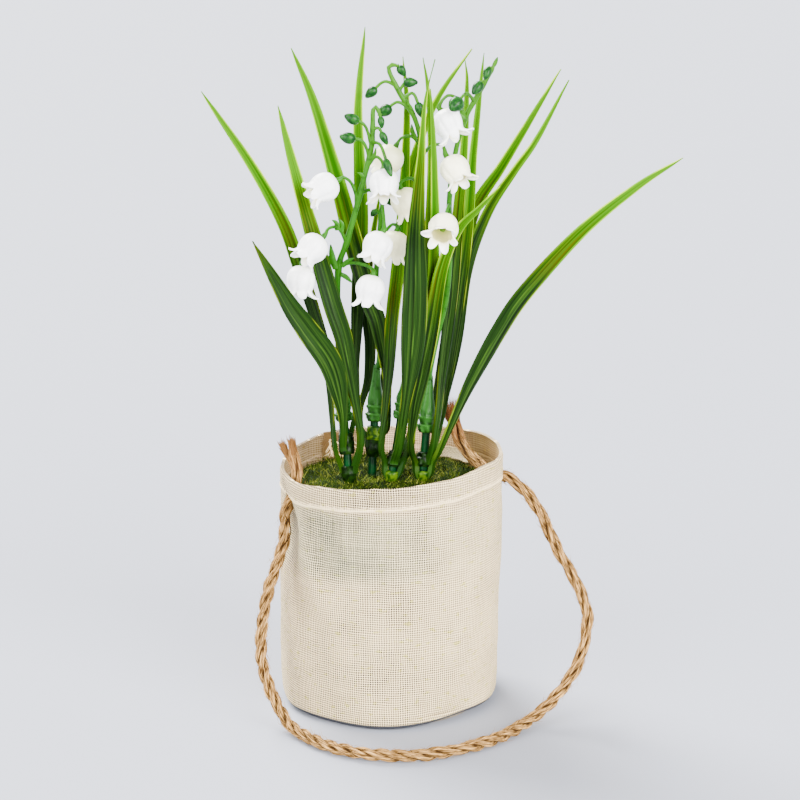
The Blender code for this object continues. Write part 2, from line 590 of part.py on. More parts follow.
# Buds: the pedicel's points from the stalk, the bud's centre, half length and radius, and the way it points
BUDS = {
    "a": [
        ([(-6.2, -8.0, 221.5), (-8.6, -9.5, 228.5)], (-13.2, -10.0, 230.9), (2.8, 2.0), (1, 0, -0.1)),
        ([(-6.8, -8.0, 216.5), (-9.4, -9.8, 222.5)], (-14.7, -11.0, 223.9), (2.9, 2.2), (1, 0, 0.15)),
        ([(-3.0, -8.2, 232.4), (-2.6, -8.6, 231.0)], (-2.4, -9.0, 229.6), (2.1, 1.3), (0.1, 0, -1)),
        ([(-5.6, -8.0, 226.8), (-3.2, -9.2, 227.2)], (-1.4, -10.0, 223.8), (2.5, 1.5), (0.15, 0, -1)),
        ([(-6.0, -8.0, 222.0), (-2.6, -13.0, 221.4)], (0.2, -16.4, 213.9), (3.4, 1.6), (0.1, 0, -1)),
    ],
    "b": [
        ([(-1.2, 4.0, 199.0), (-0.6, 4.0, 199.0)], (0.4, 4.0, 197.6), (1.9, 1.5), (0.8, 0, -0.6)),
        ([(-2.6, 4.0, 192.0), (-4.6, 4.6, 194.0)], (-5.4, 5.2, 192.8), (1.7, 1.3), (0.6, 0, 0.8)),
    ],
    "c": [
        ([(3.4, 8.0, 248.6), (4.4, 8.0, 247.8)], (5.2, 8.0, 246.6), (2.2, 1.7), (0.5, 0, -0.8)),
        ([(4.2, 8.0, 238.8), (6.6, 7.6, 242.2)], (8.4, 7.6, 242.2), (2.6, 1.9), (1, 0, -0.2)),
        ([(3.0, 8.0, 241.2), (-1.6, 8.0, 242.4)], (-6.2, 8.0, 238.4), (2.6, 1.9), (0.8, 0, 0.5)),
        ([(8.3, 8.0, 232.2), (3.6, 7.2, 234.8)], (-1.0, 7.0, 231.6), (2.8, 2.3), (0.6, 0, 0.8)),
        ([(6.0, 8.0, 236.2), (9.6, 7.4, 238.0)], (12.3, 7.0, 231.8), (3.2, 1.9), (0.2, 0, -1)),
    ],
    "d": [
        ([(38.4, -5.0, 248.8), (37.6, -6.0, 249.4)], (36.9, -7.0, 247.6), (2.5, 1.5), (0.5, 0, 0.9)),
        ([(35.6, -5.0, 242.8), (34.8, -6.4, 244.0)], (33.3, -8.0, 242.2), (2.9, 2.0), (0.5, 0, 0.9)),
        ([(32.2, -5.0, 237.0), (29.0, -12.0, 240.6)], (25.1, -18.0, 237.3), (3.2, 2.9), (0.5, 0, 0.9)),
    ],
}

# Bells: the pedicel's points from the stalk, the top of the bell and the way its mouth points
BELLS = {
    "a": [
        ([(-11.2, -8.0, 200.0), (-13.6, -11.0, 207.0), (-16.6, -13.0, 209.6)],
         (-18.9, -13.5, 208.2), (-11.0, -3.5, -5.5)),
        ([(-15.6, -7.0, 184.0), (-18.6, -11.5, 190.0), (-22.0, -15.0, 190.6)],
         (-24.4, -17.3, 187.5), (-8.5, -4.0, -8.5)),
        ([(-18.7, -5.5, 172.0), (-23.6, -5.4, 178.4), (-28.6, -6.8, 178.6)],
         (-32.2, -9.6, 175.3), (-1.0, -1.2, -10.5)),
        ([(-6.9, -8.0, 214.0), (-4.4, -9.4, 216.6), (-2.4, -9.8, 215.4)],
         (-1.7, -9.5, 211.8), (0.4, -5.0, -10.0)),
        ([(-10.0, -8.0, 203.0), (-6.0, -6.2, 203.4), (-2.4, -6.6, 199.0)],
         (-1.9, -15.5, 189.1), (-4.5, -3.5, -10.5)),
        ([(-18.3, -5.7, 174.5), (-13.0, -8.0, 176.0), (-8.0, -10.5, 175.4)],
         (-5.6, -13.5, 172.4), (-2.4, -2.0, -13.0)),
    ],
    "b": [
        ([(-4.0, 4.2, 178.0), (-1.5, -1.0, 185.6), (1.6, -5.2, 190.2)],
         (3.4, -5.8, 187.8), (-2.2, -1.0, -11.0)),
    ],
    "c": [
        ([(12.4, 8.0, 218.5), (8.8, 6.2, 222.0), (5.2, 4.6, 221.6)],
         (3.0, 4.0, 218.4), (-5.5, 1.0, -10.5)),
        ([(12.2, 8.0, 213.0), (16.0, 0.0, 219.0), (20.4, -9.0, 221.0)],
         (22.3, -10.9, 216.5), (6.0, -5.5, -9.5)),
        ([(11.6, 8.0, 202.0), (9.6, 4.0, 206.0), (6.8, 0.2, 206.6)],
         (5.0, -1.4, 203.2), (3.5, 0.3, -9.6)),
    ],
    "d": [
        ([(28.3, -5.0, 228.5), (27.0, -5.4, 236.6), (22.4, -8.4, 239.4)],
         (19.9, -10.6, 234.2), (5.4, -3.0, -9.8)),
        ([(23.3, -5.7, 193.0), (23.2, -9.0, 198.0), (22.6, -13.6, 198.6)],
         (21.2, -19.2, 194.8), (-1.4, -9.6, -6.0)),
    ],
}
BELL_TILTS = (0.0, 17.0, 34.0)


def stalk_route(plant):
    """The stalk's centre line, straight up the rod for the length of the socket's bore, and its radii."""
    foot, way = rod_axis(plant)
    base = Vector(PLANTS[plant][1])
    lower = [base + way * height for height, radius in SOCKET]
    above = [base + way * SOCKET[-1][0], base + way * SOCKET_LENGTH]
    upper = smooth_route([*above, *[Vector(point) for point in STALKS[plant]]], 13)[1:]
    radii = [radius for height, radius in SOCKET]
    radii += [STALK_BASE + (STALK_TIP - STALK_BASE) * index / (len(upper) - 1) for index in range(len(upper))]
    return lower + upper, radii


def bud(name, centre, sizes, way, collection):
    """An egg-shaped flower bud."""
    length, radius = sizes
    bm = bmesh.new()
    turn = Vector(way).to_track_quat("Z", "Y").to_matrix().to_4x4()
    stretch = Matrix.Diagonal((radius * MM, radius * MM, length * MM, 1.0))
    place = Matrix.Translation(vec(centre)) @ turn @ stretch
    bmesh.ops.create_uvsphere(bm, u_segments=7, v_segments=5, radius=1.0, matrix=place)
    return mesh_object(name, bm, STALK, collection)


def spray(plant, parts, cutters):
    """A stalk with its ringed socket, pedicels and buds, as one solid."""
    name = "spray_" + plant
    route, radii = stalk_route(plant)
    stalk = tube(name, route, 1.0, STALK, parts, sides=2, radii=radii)
    pieces = []
    for index, (points, centre, sizes, way) in enumerate(BUDS[plant]):
        line = smooth_route([Vector(point) for point in (*points, centre)], 4)
        pieces.append(tube(f"{name}_pedicel_{index}", line, PEDICEL, STALK, parts))
        pieces.append(bud(f"{name}_bud_{index}", centre, sizes, way, parts))
    for index, (points, top, way) in enumerate(BELLS[plant]):
        aim = Vector(way).normalized()
        neck = Vector(top) - aim * PEDICEL_NECK
        line = smooth_route([*[Vector(point) for point in points], neck], 5)
        line.append(Vector(top) - aim * (GAP + 0.1))
        flare = [1.0, 1.0, 1.0, 1.0, 1.1, 1.3]
        pieces.append(tube(f"{name}_bell_pedicel_{index}", line, PEDICEL, STALK, parts, radii=flare))
    fuse(stalk, pieces, solver="MANIFOLD")
    way = rod_axis(plant)[1]
    base = Vector(PLANTS[plant][1])
    top = base + way * (ROD_IN_SOCKET + GAP)
    bore = rod_between("bore_" + plant, base - way, top, ROD_RADIUS + SOCKET_ROOM, ROD, cutters, sides=12)
    cut(stalk, bore)
    return stalk


def bell(name, top, way, roll, parts):
    """A hanging bell with six out-curled lobes, a thin cup closed at its top."""
    profile = [(0.0, 0.0), (3.5, 1.0), (BELL_RADIUS, 4.8), (5.0, 9.9), (6.0, BELL_LENGTH)]
    cup = turned(name, [(radius, -depth) for radius, depth in profile], BELL_SIDES, WHITE, parts)
    for vert in cup.data.vertices:
        x, y, z = vert.co / MM
        radius = math.hypot(x, y)
        lobe = 0.5 + 0.5 * math.cos(LOBES * math.atan2(y, x))
        reach = max(0.0, (-z - LOBE_START) / (BELL_LENGTH - LOBE_START))
        if radius > 0.01:
            grow = 1.0 + reach * (0.27 * lobe - 0.13)
            vert.co.x *= grow
            vert.co.y *= grow
        vert.co.z -= LOBE_REACH * MM * reach * lobe
    solid = cup.modifiers.new("petal", "SOLIDIFY")
    solid.thickness = BELL_WALL * MM
    solid.offset = -1.0
    bake(cup)
    spin = Matrix.Rotation(math.radians(roll), 4, "Z")
    turn = (-Vector(way)).to_track_quat("Z", "Y").to_matrix().to_4x4()
    cup.data.transform(Matrix.Translation(vec(top)) @ turn @ spin)
    return cup


def main():
    parts, cutters = start_scene()
    rope_room = rope_cutters(cutters)
    holes = [stem_rod(plant, parts, cutters) for plant in PLANTS]
    bag_wall(parts, rope_room)
    bag_base(parts)
    foam_block(parts, holes + rope_room)
    moss_bed(parts, holes + rope_room)
    rope(parts)
    for name in TUFTS:
        tuft(name, parts)
    for plant in PLANTS:
        spray(plant, parts, cutters)
        for index, (points, top, way) in enumerate(BELLS[plant]):
            roll = BELL_TILTS[index % len(BELL_TILTS)]
            bell(f"bell_{plant}{index + 1}", top, way, roll, parts)


main()
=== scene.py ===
"""An artificial lily of the valley in a round linen bag with a jute rope handle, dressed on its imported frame.

Lengths are written in millimetres and turned into metres by MM. +Z is up, the front is -Y, and the origin is
the middle of the bag's base on the table.
"""
import logging
import math
import random
from dataclasses import dataclass, field
from enum import Enum
from typing import Callable, Sequence

import bmesh
import bpy
import numpy as np
from mathutils import Matrix, Vector, noise


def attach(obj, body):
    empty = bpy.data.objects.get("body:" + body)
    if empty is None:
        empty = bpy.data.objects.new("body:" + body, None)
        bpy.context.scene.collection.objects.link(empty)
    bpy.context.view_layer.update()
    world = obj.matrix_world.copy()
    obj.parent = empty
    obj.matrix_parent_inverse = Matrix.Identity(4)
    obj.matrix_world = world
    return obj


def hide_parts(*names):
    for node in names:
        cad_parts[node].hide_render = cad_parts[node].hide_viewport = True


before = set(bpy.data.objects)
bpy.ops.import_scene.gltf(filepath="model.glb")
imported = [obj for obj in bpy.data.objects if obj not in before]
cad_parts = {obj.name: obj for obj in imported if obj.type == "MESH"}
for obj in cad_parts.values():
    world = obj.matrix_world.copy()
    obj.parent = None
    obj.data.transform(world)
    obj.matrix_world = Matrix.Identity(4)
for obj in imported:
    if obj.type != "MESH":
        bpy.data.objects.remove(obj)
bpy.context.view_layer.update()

MM = 0.001
LOG = logging.getLogger("lily")

Point = tuple[float, float, float]
Colour = tuple[float, float, float, float]
Frame = tuple[Vector, Vector, Vector]
Piece = bpy.types.Object
Material = bpy.types.Material
Socket = bpy.types.NodeSocket


# Small sums


def dye(red: float, green: float, blue: float) -> Colour:
    """Give a colour by the shares of red, green and blue light that it returns."""
    return (red, green, blue, 1.0)


def polar(angle: float, radius: float, z: float = 0.0) -> Vector:
    """Give the point at a compass angle in degrees, a radius and a height."""
    turn = math.radians(angle)
    return Vector((radius * math.cos(turn), radius * math.sin(turn), z))


def hump(value: float, centre: float, spread: float) -> float:
    """Give a soft bump of height 1 round a centre."""
    return math.exp(-0.5 * ((value - centre) / spread) ** 2)


def angle_gap(angle: float, centre: float) -> float:
    """Give the signed turn in degrees from one angle to another."""
    return (angle - centre + 180.0) % 360.0 - 180.0


def round_way(turn: float, side: Vector, up: Vector) -> Vector:
    """Give the way out at a turn in radians round the axis that two directions cross."""
    return side * math.cos(turn) + up * math.sin(turn)


def ripple(x: float, y: float, z: float) -> float:
    """Give smooth noise of about -1 to 1 at a place."""
    return noise.noise(Vector((x, y, z)))


def ease_in(value: float, low: float, high: float) -> float:
    """Give 0 below low, 1 above high and a smooth rise between them."""
    share = min(1.0, max(0.0, (value - low) / (high - low)))
    return share * share * (3.0 - 2.0 * share)


def smooth_route(points: Sequence[Vector | Point], count: int, ease: float = 1.0) -> list[Vector]:
    """Lay a smooth curve through points and step along it.

    Args:
        points: The points that the curve goes through.
        count: How many steps to give.
        ease: Over 1, the steps lie closer together at the start.

    Returns:
        The points on the curve.
    """
    points = [Vector(point) for point in points]
    ends = [2 * points[0] - points[1], *points, 2 * points[-1] - points[-2]]
    fine = []
    for a, b, c, d in zip(ends, ends[1:], ends[2:], ends[3:]):
        for step in range(16):
            t = step / 16
            linear = (c - a) * t
            square = (2 * a - 5 * b + 4 * c - d) * t**2
            cube = (3 * b - a - 3 * c + d) * t**3
            fine.append(0.5 * (2 * b + linear + square + cube))
    fine.append(points[-1])
    along = np.concatenate([[0.0], np.cumsum([(q - p).length for p, q in zip(fine, fine[1:])])])
    table = np.array([tuple(p) for p in fine])
    wanted = along[-1] * np.linspace(0.0, 1.0, count) ** ease
    return [Vector([float(np.interp(s, along, table[:, axis])) for axis in range(3)]) for s in wanted]


def route_length(points: Sequence[Vector]) -> float:
    """Give the length of a line of points."""
    return sum((q - p).length for p, q in zip(points, points[1:]))


def carried_frames(points: Sequence[Vector]) -> list[Frame]:
    """Carry a pair of cross directions along a route without twisting them.

    Args:
        points: The route.

    Returns:
        For each point, the direction of the route and its two cross directions.
    """
    frames = []
    side = None
    for index in range(len(points)):
        way = (points[min(index + 1, len(points) - 1)] - points[max(index - 1, 0)]).normalized()
        if side is None:
            side = way.orthogonal().normalized()
        side = (side - way * side.dot(way)).normalized()
        frames.append((way, side, way.cross(side)))
    return frames


# The workbench: Blender's own operators


class Bench:
    """Modelling by hand, with one piece on the bench at a time."""

    @staticmethod
    def clear() -> None:
        """Leave edit mode and deselect everything."""
        if bpy.context.object is not None and bpy.context.object.mode != "OBJECT":
            bpy.ops.object.mode_set(mode="OBJECT")
        bpy.ops.object.select_all(action="DESELECT")

    @staticmethod
    def hold(piece: Piece) -> None:
        """Put one piece on the bench.

        Args:
            piece: The piece.
        """
        Bench.clear()
        piece.select_set(True)
        bpy.context.view_layer.objects.active = piece

    @staticmethod
    def named(name: str) -> Piece:
        """Name the piece that was just added.

        Args:
            name: The name.

        Returns:
            The piece.
        """
        piece = bpy.context.object
        piece.name = name
        piece.data.name = name
        return piece

    @staticmethod
    def edit(select: str = "SELECT") -> None:
        """Go into edit mode with everything selected, or with nothing."""
        bpy.ops.object.mode_set(mode="EDIT")
        bpy.ops.mesh.select_all(action=select)

    @staticmethod
    def close_edit() -> None:
        """Turn every face outwards and leave edit mode."""
        bpy.ops.mesh.select_all(action="SELECT")
        bpy.ops.mesh.normals_make_consistent(inside=False)
        bpy.ops.object.mode_set(mode="OBJECT")

    @staticmethod
    def turned(name: str, profile: Sequence[tuple[float, float]], sides: int) -> Piece:
        """Turn a shape by extruding and resizing a ring, row by row.

        Args:
            name: The piece's name.
            profile: Radius and height of each row; a radius of 0 at either end closes it.
            sides: How many sides the ring has.

        Returns:
            The open or closed shell, about the Z axis.
        """
        tip_first = profile[0][0] == 0.0
        rows = list(profile[1:]) if tip_first else list(profile)
        Bench.clear()
        bpy.ops.mesh.primitive_circle_add(vertices=sides, radius=rows[0][0] * MM, fill_type="NOTHING")
        piece = Bench.named(name)
        Bench.edit()
        bpy.ops.transform.translate(value=(0.0, 0.0, rows[0][1] * MM))
        for (radius, z), (next_radius, next_z) in zip(rows, rows[1:]):
            rise = {"value": (0.0, 0.0, (next_z - z) * MM)}
            bpy.ops.mesh.extrude_region_move(TRANSFORM_OT_translate=rise)
            if next_radius == 0.0:
                bpy.ops.mesh.merge(type="CENTER")
                break
            grow = next_radius / radius
            bpy.ops.transform.resize(value=(grow, grow, 1.0))
        if tip_first:
            bpy.ops.mesh.select_all(action="DESELECT")
            shell = bmesh.from_edit_mesh(piece.data)
            shell.verts.ensure_lookup_table()
            for vert in shell.verts[:sides]:
                vert.select = True
            shell.select_flush_mode()
            bmesh.update_edit_mesh(piece.data)
            rise = {"value": (0.0, 0.0, (profile[0][1] - rows[0][1]) * MM)}
            bpy.ops.mesh.extrude_region_move(TRANSFORM_OT_translate=rise)
            bpy.ops.mesh.merge(type="CENTER")
        Bench.close_edit()
        return piece

    @staticmethod
    def strip(name: str, across: int, along: int) -> Piece:
        """Add a flat strip from -1 to 1 both ways, with its own UV map.

        Args:
            name: The piece's name.
            across: Its squares across.
            along: Its squares along.

        Returns:
            The piece.
        """
        Bench.clear()
        bpy.ops.mesh.primitive_grid_add(x_subdivisions=across, y_subdivisions=along, size=2.0)
        return Bench.named(name)

    @staticmethod
    def ball(name: str, segments: int, rings: int) -> Piece:
        """Add a round ball of radius 1 to be shaped.

        Args:
            name: The piece's name.
            segments: Its sides.
            rings: Its rows.

        Returns:
            The piece.
        """
        Bench.clear()
        bpy.ops.mesh.primitive_uv_sphere_add(segments=segments, ring_count=rings, radius=1.0)
        return Bench.named(name)

    @staticmethod
    def tube(name: str, points: Sequence[Vector], radii: Sequence[float], sides: int) -> Piece:
        """Bevel a line into a closed tube.

        Args:
            name: The piece's name.
            points: The centre line.
            radii: The radius at each point.
            sides: How many sides the tube has, an even number.

        Returns:
            The tube as a mesh.
        """
        curve = bpy.data.curves.new(name, "CURVE")
        curve.dimensions = "3D"
        curve.bevel_depth = MM
        curve.bevel_resolution = (sides - 4) // 2
        curve.use_fill_caps = True
        spline = curve.splines.new("POLY")
        spline.points.add(len(points) - 1)
        for knot, point, radius in zip(spline.points, points, radii):
            knot.co = (*(point * MM), 1.0)
            knot.radius = radius
        piece = bpy.data.objects.new(name, curve)
        bpy.context.collection.objects.link(piece)
        Bench.hold(piece)
        bpy.ops.object.convert(target="MESH")
        piece = Bench.named(name)
        Bench.weld(piece, 0.005)
        return piece

    @staticmethod
    def weld(piece: Piece, reach: float) -> None:
        """Merge points closer than reach and turn every face outwards.

        Args:
            piece: The piece.
            reach: How close, in millimetres.
        """
        Bench.hold(piece)
        Bench.edit()
        bpy.ops.mesh.remove_doubles(threshold=reach * MM)
        Bench.close_edit()

    @staticmethod
    def thicken(piece: Piece, thickness: float, offset: float, inner_slot: int = 0,
                group: tuple[str, float] | None = None) -> None:
        """Give an open shell a wall.

        Args:
            piece: The shell.
            thickness: The wall in millimetres.
            offset: -1 for a wall on the inside, 0 for half each way.
            inner_slot: How many slots further on the inner side's material is.
            group: A vertex group that the wall is full in, and the share that it has outside it.
        """
        wall = piece.modifiers.new("wall", "SOLIDIFY")
        wall.thickness = thickness * MM
        wall.offset = offset
        wall.material_offset = inner_slot
        if group is not None:
            wall.vertex_group, wall.thickness_vertex_group = group
        Bench.hold(piece)
        bpy.ops.object.modifier_apply(modifier=wall.name)

    @staticmethod
    def shade(piece: Piece, angle: float = 50.0) -> None:
        """Shade a piece smoothly up to an angle between faces."""
        Bench.hold(piece)
        bpy.ops.object.shade_smooth_by_angle(angle=math.radians(angle))

    @staticmethod
    def cut(piece: Piece, cutter: Piece) -> None:
        """Take the cutter's room out of a piece and throw the cutter away.

        Args:
            piece: The piece.
            cutter: The room.
        """
        room = piece.modifiers.new("room", "BOOLEAN")
        room.operation = "DIFFERENCE"
        room.solver = "MANIFOLD"
        room.object = cutter
        Bench.hold(piece)
        bpy.ops.object.modifier_apply(modifier=room.name)
        bpy.data.objects.remove(cutter, do_unlink=True)

    @staticmethod
    def joined(name: str, pieces: Sequence[Piece]) -> Piece:
        """Join pieces into one object and name it.

        Args:
            name: The name.
            pieces: The pieces.

        Returns:
            The piece.
        """
        Bench.clear()
        for piece in pieces:
            piece.select_set(True)
        bpy.context.view_layer.objects.active = pieces[0]
        if len(pieces) > 1:
            bpy.ops.object.join()
        return Bench.named(name)

    @staticmethod
    def from_points(name: str, points: Sequence[Vector], faces: list[tuple[int, ...]]) -> Piece:
        """Make a mesh of points in millimetres and faces.

        Args:
            name: The piece's name.
            points: The points.
            faces: The faces' points, by number.

        Returns:
            The piece.
        """
        mesh = bpy.data.meshes.new(name)
        mesh.from_pydata((np.array([tuple(point) for point in points]) * MM).tolist(), [], faces)
        mesh.update()
        piece = bpy.data.objects.new(name, mesh)
        bpy.context.collection.objects.link(piece)
        return piece

    @staticmethod
    def mark(piece: Piece, name: str, values: Sequence[float] | float) -> None:
        """Store a number for each point of the mesh, or one for all, for its material to read."""
        layer = piece.data.attributes.new(name, "FLOAT", "POINT")
        layer.data.foreach_set("value", np.full(len(piece.data.vertices), values, dtype=np.float32))

    @staticmethod
    def coat(piece: Piece, *materials: Material) -> None:
        """Give a piece its materials, in the order of their slots.

        Args:
            piece: The piece.
            materials: The materials.
        """
        piece.data.materials.clear()
        for material in materials:
            piece.data.materials.append(material)

    @staticmethod
    def unroll(piece: Piece, place: Callable[[Vector], tuple[float, float]]) -> None:
        """Lay a round piece's UV map flat, with u from 0 to 1 once round and no face across the join.

        Args:
            piece: The piece, about the Z axis.
            place: Gives u and v for a point.
        """
        mesh = piece.data
        layer = mesh.uv_layers.active or mesh.uv_layers.new(name="UVMap")
        spots = [place(vert.co) for vert in mesh.vertices]
        for polygon in mesh.polygons:
            corners = [spots[mesh.loops[loop].vertex_index] for loop in polygon.loop_indices]
            wide = max(u for u, _ in corners) - min(u for u, _ in corners) > 0.5
            for loop, (u, v) in zip(polygon.loop_indices, corners):
                layer.data[loop].uv = (u + 1.0 if wide and u < 0.5 else u, v)


# Finishes


class Board:
    """A material's node tree, with short calls for what the finishes need."""

    def __init__(self, name: str, roughness: float, gloss: float = 0.5) -> None:
        """Start a material with one shader of the given roughness and gloss.

        Args:
            name: The material's name.
            roughness: How rough it is.
            gloss: How it shines.
        """
        self.material = bpy.data.materials.new(name)
        self.material.use_nodes = True
        self.tree = self.material.node_tree
        self.shader = self.tree.nodes["Principled BSDF"]
        self.shader.inputs["Roughness"].default_value = roughness
        self.shader.inputs["Specular IOR Level"].default_value = gloss

    def put(self, kind: str, inputs: dict, **settings: object) -> bpy.types.Node:
        """Add a node, with its settings made and its inputs joined or set.

        Args:
            kind: The node's type.
            inputs: The values, by input.
            settings: The node's settings.

        Returns:
            The node.
        """
        node = self.tree.nodes.new(kind)
        for name, value in settings.items():
            setattr(node, name, value)
        for key, value in inputs.items():
            self.feed(node.inputs[key], value)
        return node

    def feed(self, socket: Socket, value: object) -> None:
        """Join a node's output to a socket, or set the socket.

        Args:
            socket: The socket.
            value: An output or a value.
        """
        if isinstance(value, Socket):
            self.tree.links.new(value, socket)
        else:
            socket.default_value = value

    def math(self, operation: str, a: object, b: object = 0.0, c: object = 0.0) -> Socket:
        """Add a sum on one to three numbers."""
        return self.put("ShaderNodeMath", {0: a, 1: b, 2: c}, operation=operation).outputs[0]

    def times(self, a: object, b: object) -> Socket:
        """Multiply two numbers."""
        return self.math("MULTIPLY", a, b)

    def plus(self, a: object, b: object) -> Socket:
        """Add two numbers."""
        return self.math("ADD", a, b)

    def scaled(self, value: object, factor: object, shift: object) -> Socket:
        """Multiply a number by a factor and add a shift."""
        return self.math("MULTIPLY_ADD", value, factor, shift)

    def span(self, value: object, low: object, high: object, to_low: float = 0.0,
             to_high: float = 1.0) -> Socket:
        """Map a range of numbers to another, smoothly and clamped."""
        inputs = {"Value": value, "From Min": low, "From Max": high, "To Min": to_low, "To Max": to_high}
        return self.put("ShaderNodeMapRange", inputs, interpolation_type="SMOOTHSTEP").outputs[0]

    def mix(self, share: object, first: object, second: object, blend: str = "MIX") -> Socket:
        """Mix two colours.

        Args:
            share: How much of the second.
            first: A colour.
            second: Another.
            blend: How they mix.

        Returns:
            The mixed colour.
        """
        node = self.put("ShaderNodeMix", {}, data_type="RGBA", blend_type=blend, clamp_factor=True)
        self.feed(node.inputs[0], share)
        self.feed(node.inputs[6], first)
        self.feed(node.inputs[7], second)
        return node.outputs[2]

    def blend(self, value: object, low: float, high: float, share: float, colours: tuple) -> Socket:
        """Mix two colours, up to a share of the second, as a number goes from low to high."""
        return self.mix(self.span(value, low, high, 0.0, share), *colours)

    def ramp(self, value: object, stops: Sequence[tuple[float, Colour]]) -> Socket:
        """Add a colour ramp.

        Args:
            value: The number.
            stops: Places and colours.

        Returns:
            The colour at the number.
        """
        node = self.put("ShaderNodeValToRGB", {"Fac": value})
        band = node.color_ramp
        band.elements[0].position, band.elements[0].color = stops[0]
        band.elements[1].position, band.elements[1].color = stops[-1]
        for position, colour in stops[1:-1]:
            band.elements.new(position).color = colour
        return node.outputs["Color"]

    def axes(self, uv: bool = True) -> tuple:
        """Give the two UV axes, or the three object axes.

        Args:
            uv: Whether to give the UV axes.

        Returns:
            The axes.
        """
        if uv:
            source = self.put("ShaderNodeUVMap", {}, uv_map="UVMap").outputs[0]
        else:
            source = self.put("ShaderNodeTexCoord", {}).outputs["Object"]
        parts = self.put("ShaderNodeSeparateXYZ", {0: source}).outputs
        return (parts[0], parts[1]) if uv else (parts[0], parts[1], parts[2])

    def noise(self, x: object, y: object, z: object = 0.0, detail: float = 2.0,
              rough: float = 0.5) -> Socket:
        """Add noise on three already scaled numbers.

        Args:
            x, y, z: The numbers.
            detail: How fine it is.
            rough: How strong its fine part is.

        Returns:
            Noise from 0 to 1.
        """
        place = self.put("ShaderNodeCombineXYZ", {0: x, 1: y, 2: z}).outputs[0]
        inputs = {"Vector": place, "Scale": 1.0, "Detail": detail, "Roughness": rough}
        return self.put("ShaderNodeTexNoise", inputs).outputs["Fac"]

    def solid_noise(self, scale: float, detail: float = 2.0) -> Socket:
        """Add noise on the object's own coordinates.

        Args:
            scale: How close its lumps lie.
            detail: How fine it is.

        Returns:
            Noise from 0 to 1.
        """
        place = self.put("ShaderNodeTexCoord", {}).outputs["Object"]
        inputs = {"Vector": place, "Scale": scale, "Detail": detail}
        return self.put("ShaderNodeTexNoise", inputs).outputs["Fac"]

    def mark(self, name: str) -> Socket:
        """Read a number stored on the mesh."""
        return self.put("ShaderNodeAttribute", {}, attribute_name=name).outputs["Fac"]

    def relief(self, height: object, depth: float, strength: float = 1.0) -> None:
        """Raise the surface by a height of 0 to 1, times a depth in millimetres."""
        inputs = {"Height": height, "Distance": depth * MM, "Strength": strength}
        self.feed(self.shader.inputs["Normal"], self.put("ShaderNodeBump", inputs).outputs[0])

    def colour(self, value: object) -> Material:
        """Set the shader's colour and give the finished material."""
        self.feed(self.shader.inputs["Base Color"], value)
        return self.material


class ClothSide(Enum):
    """Which side of the linen is dressed."""

    OUTSIDE = "linen_outside"
    INSIDE = "linen_inside"


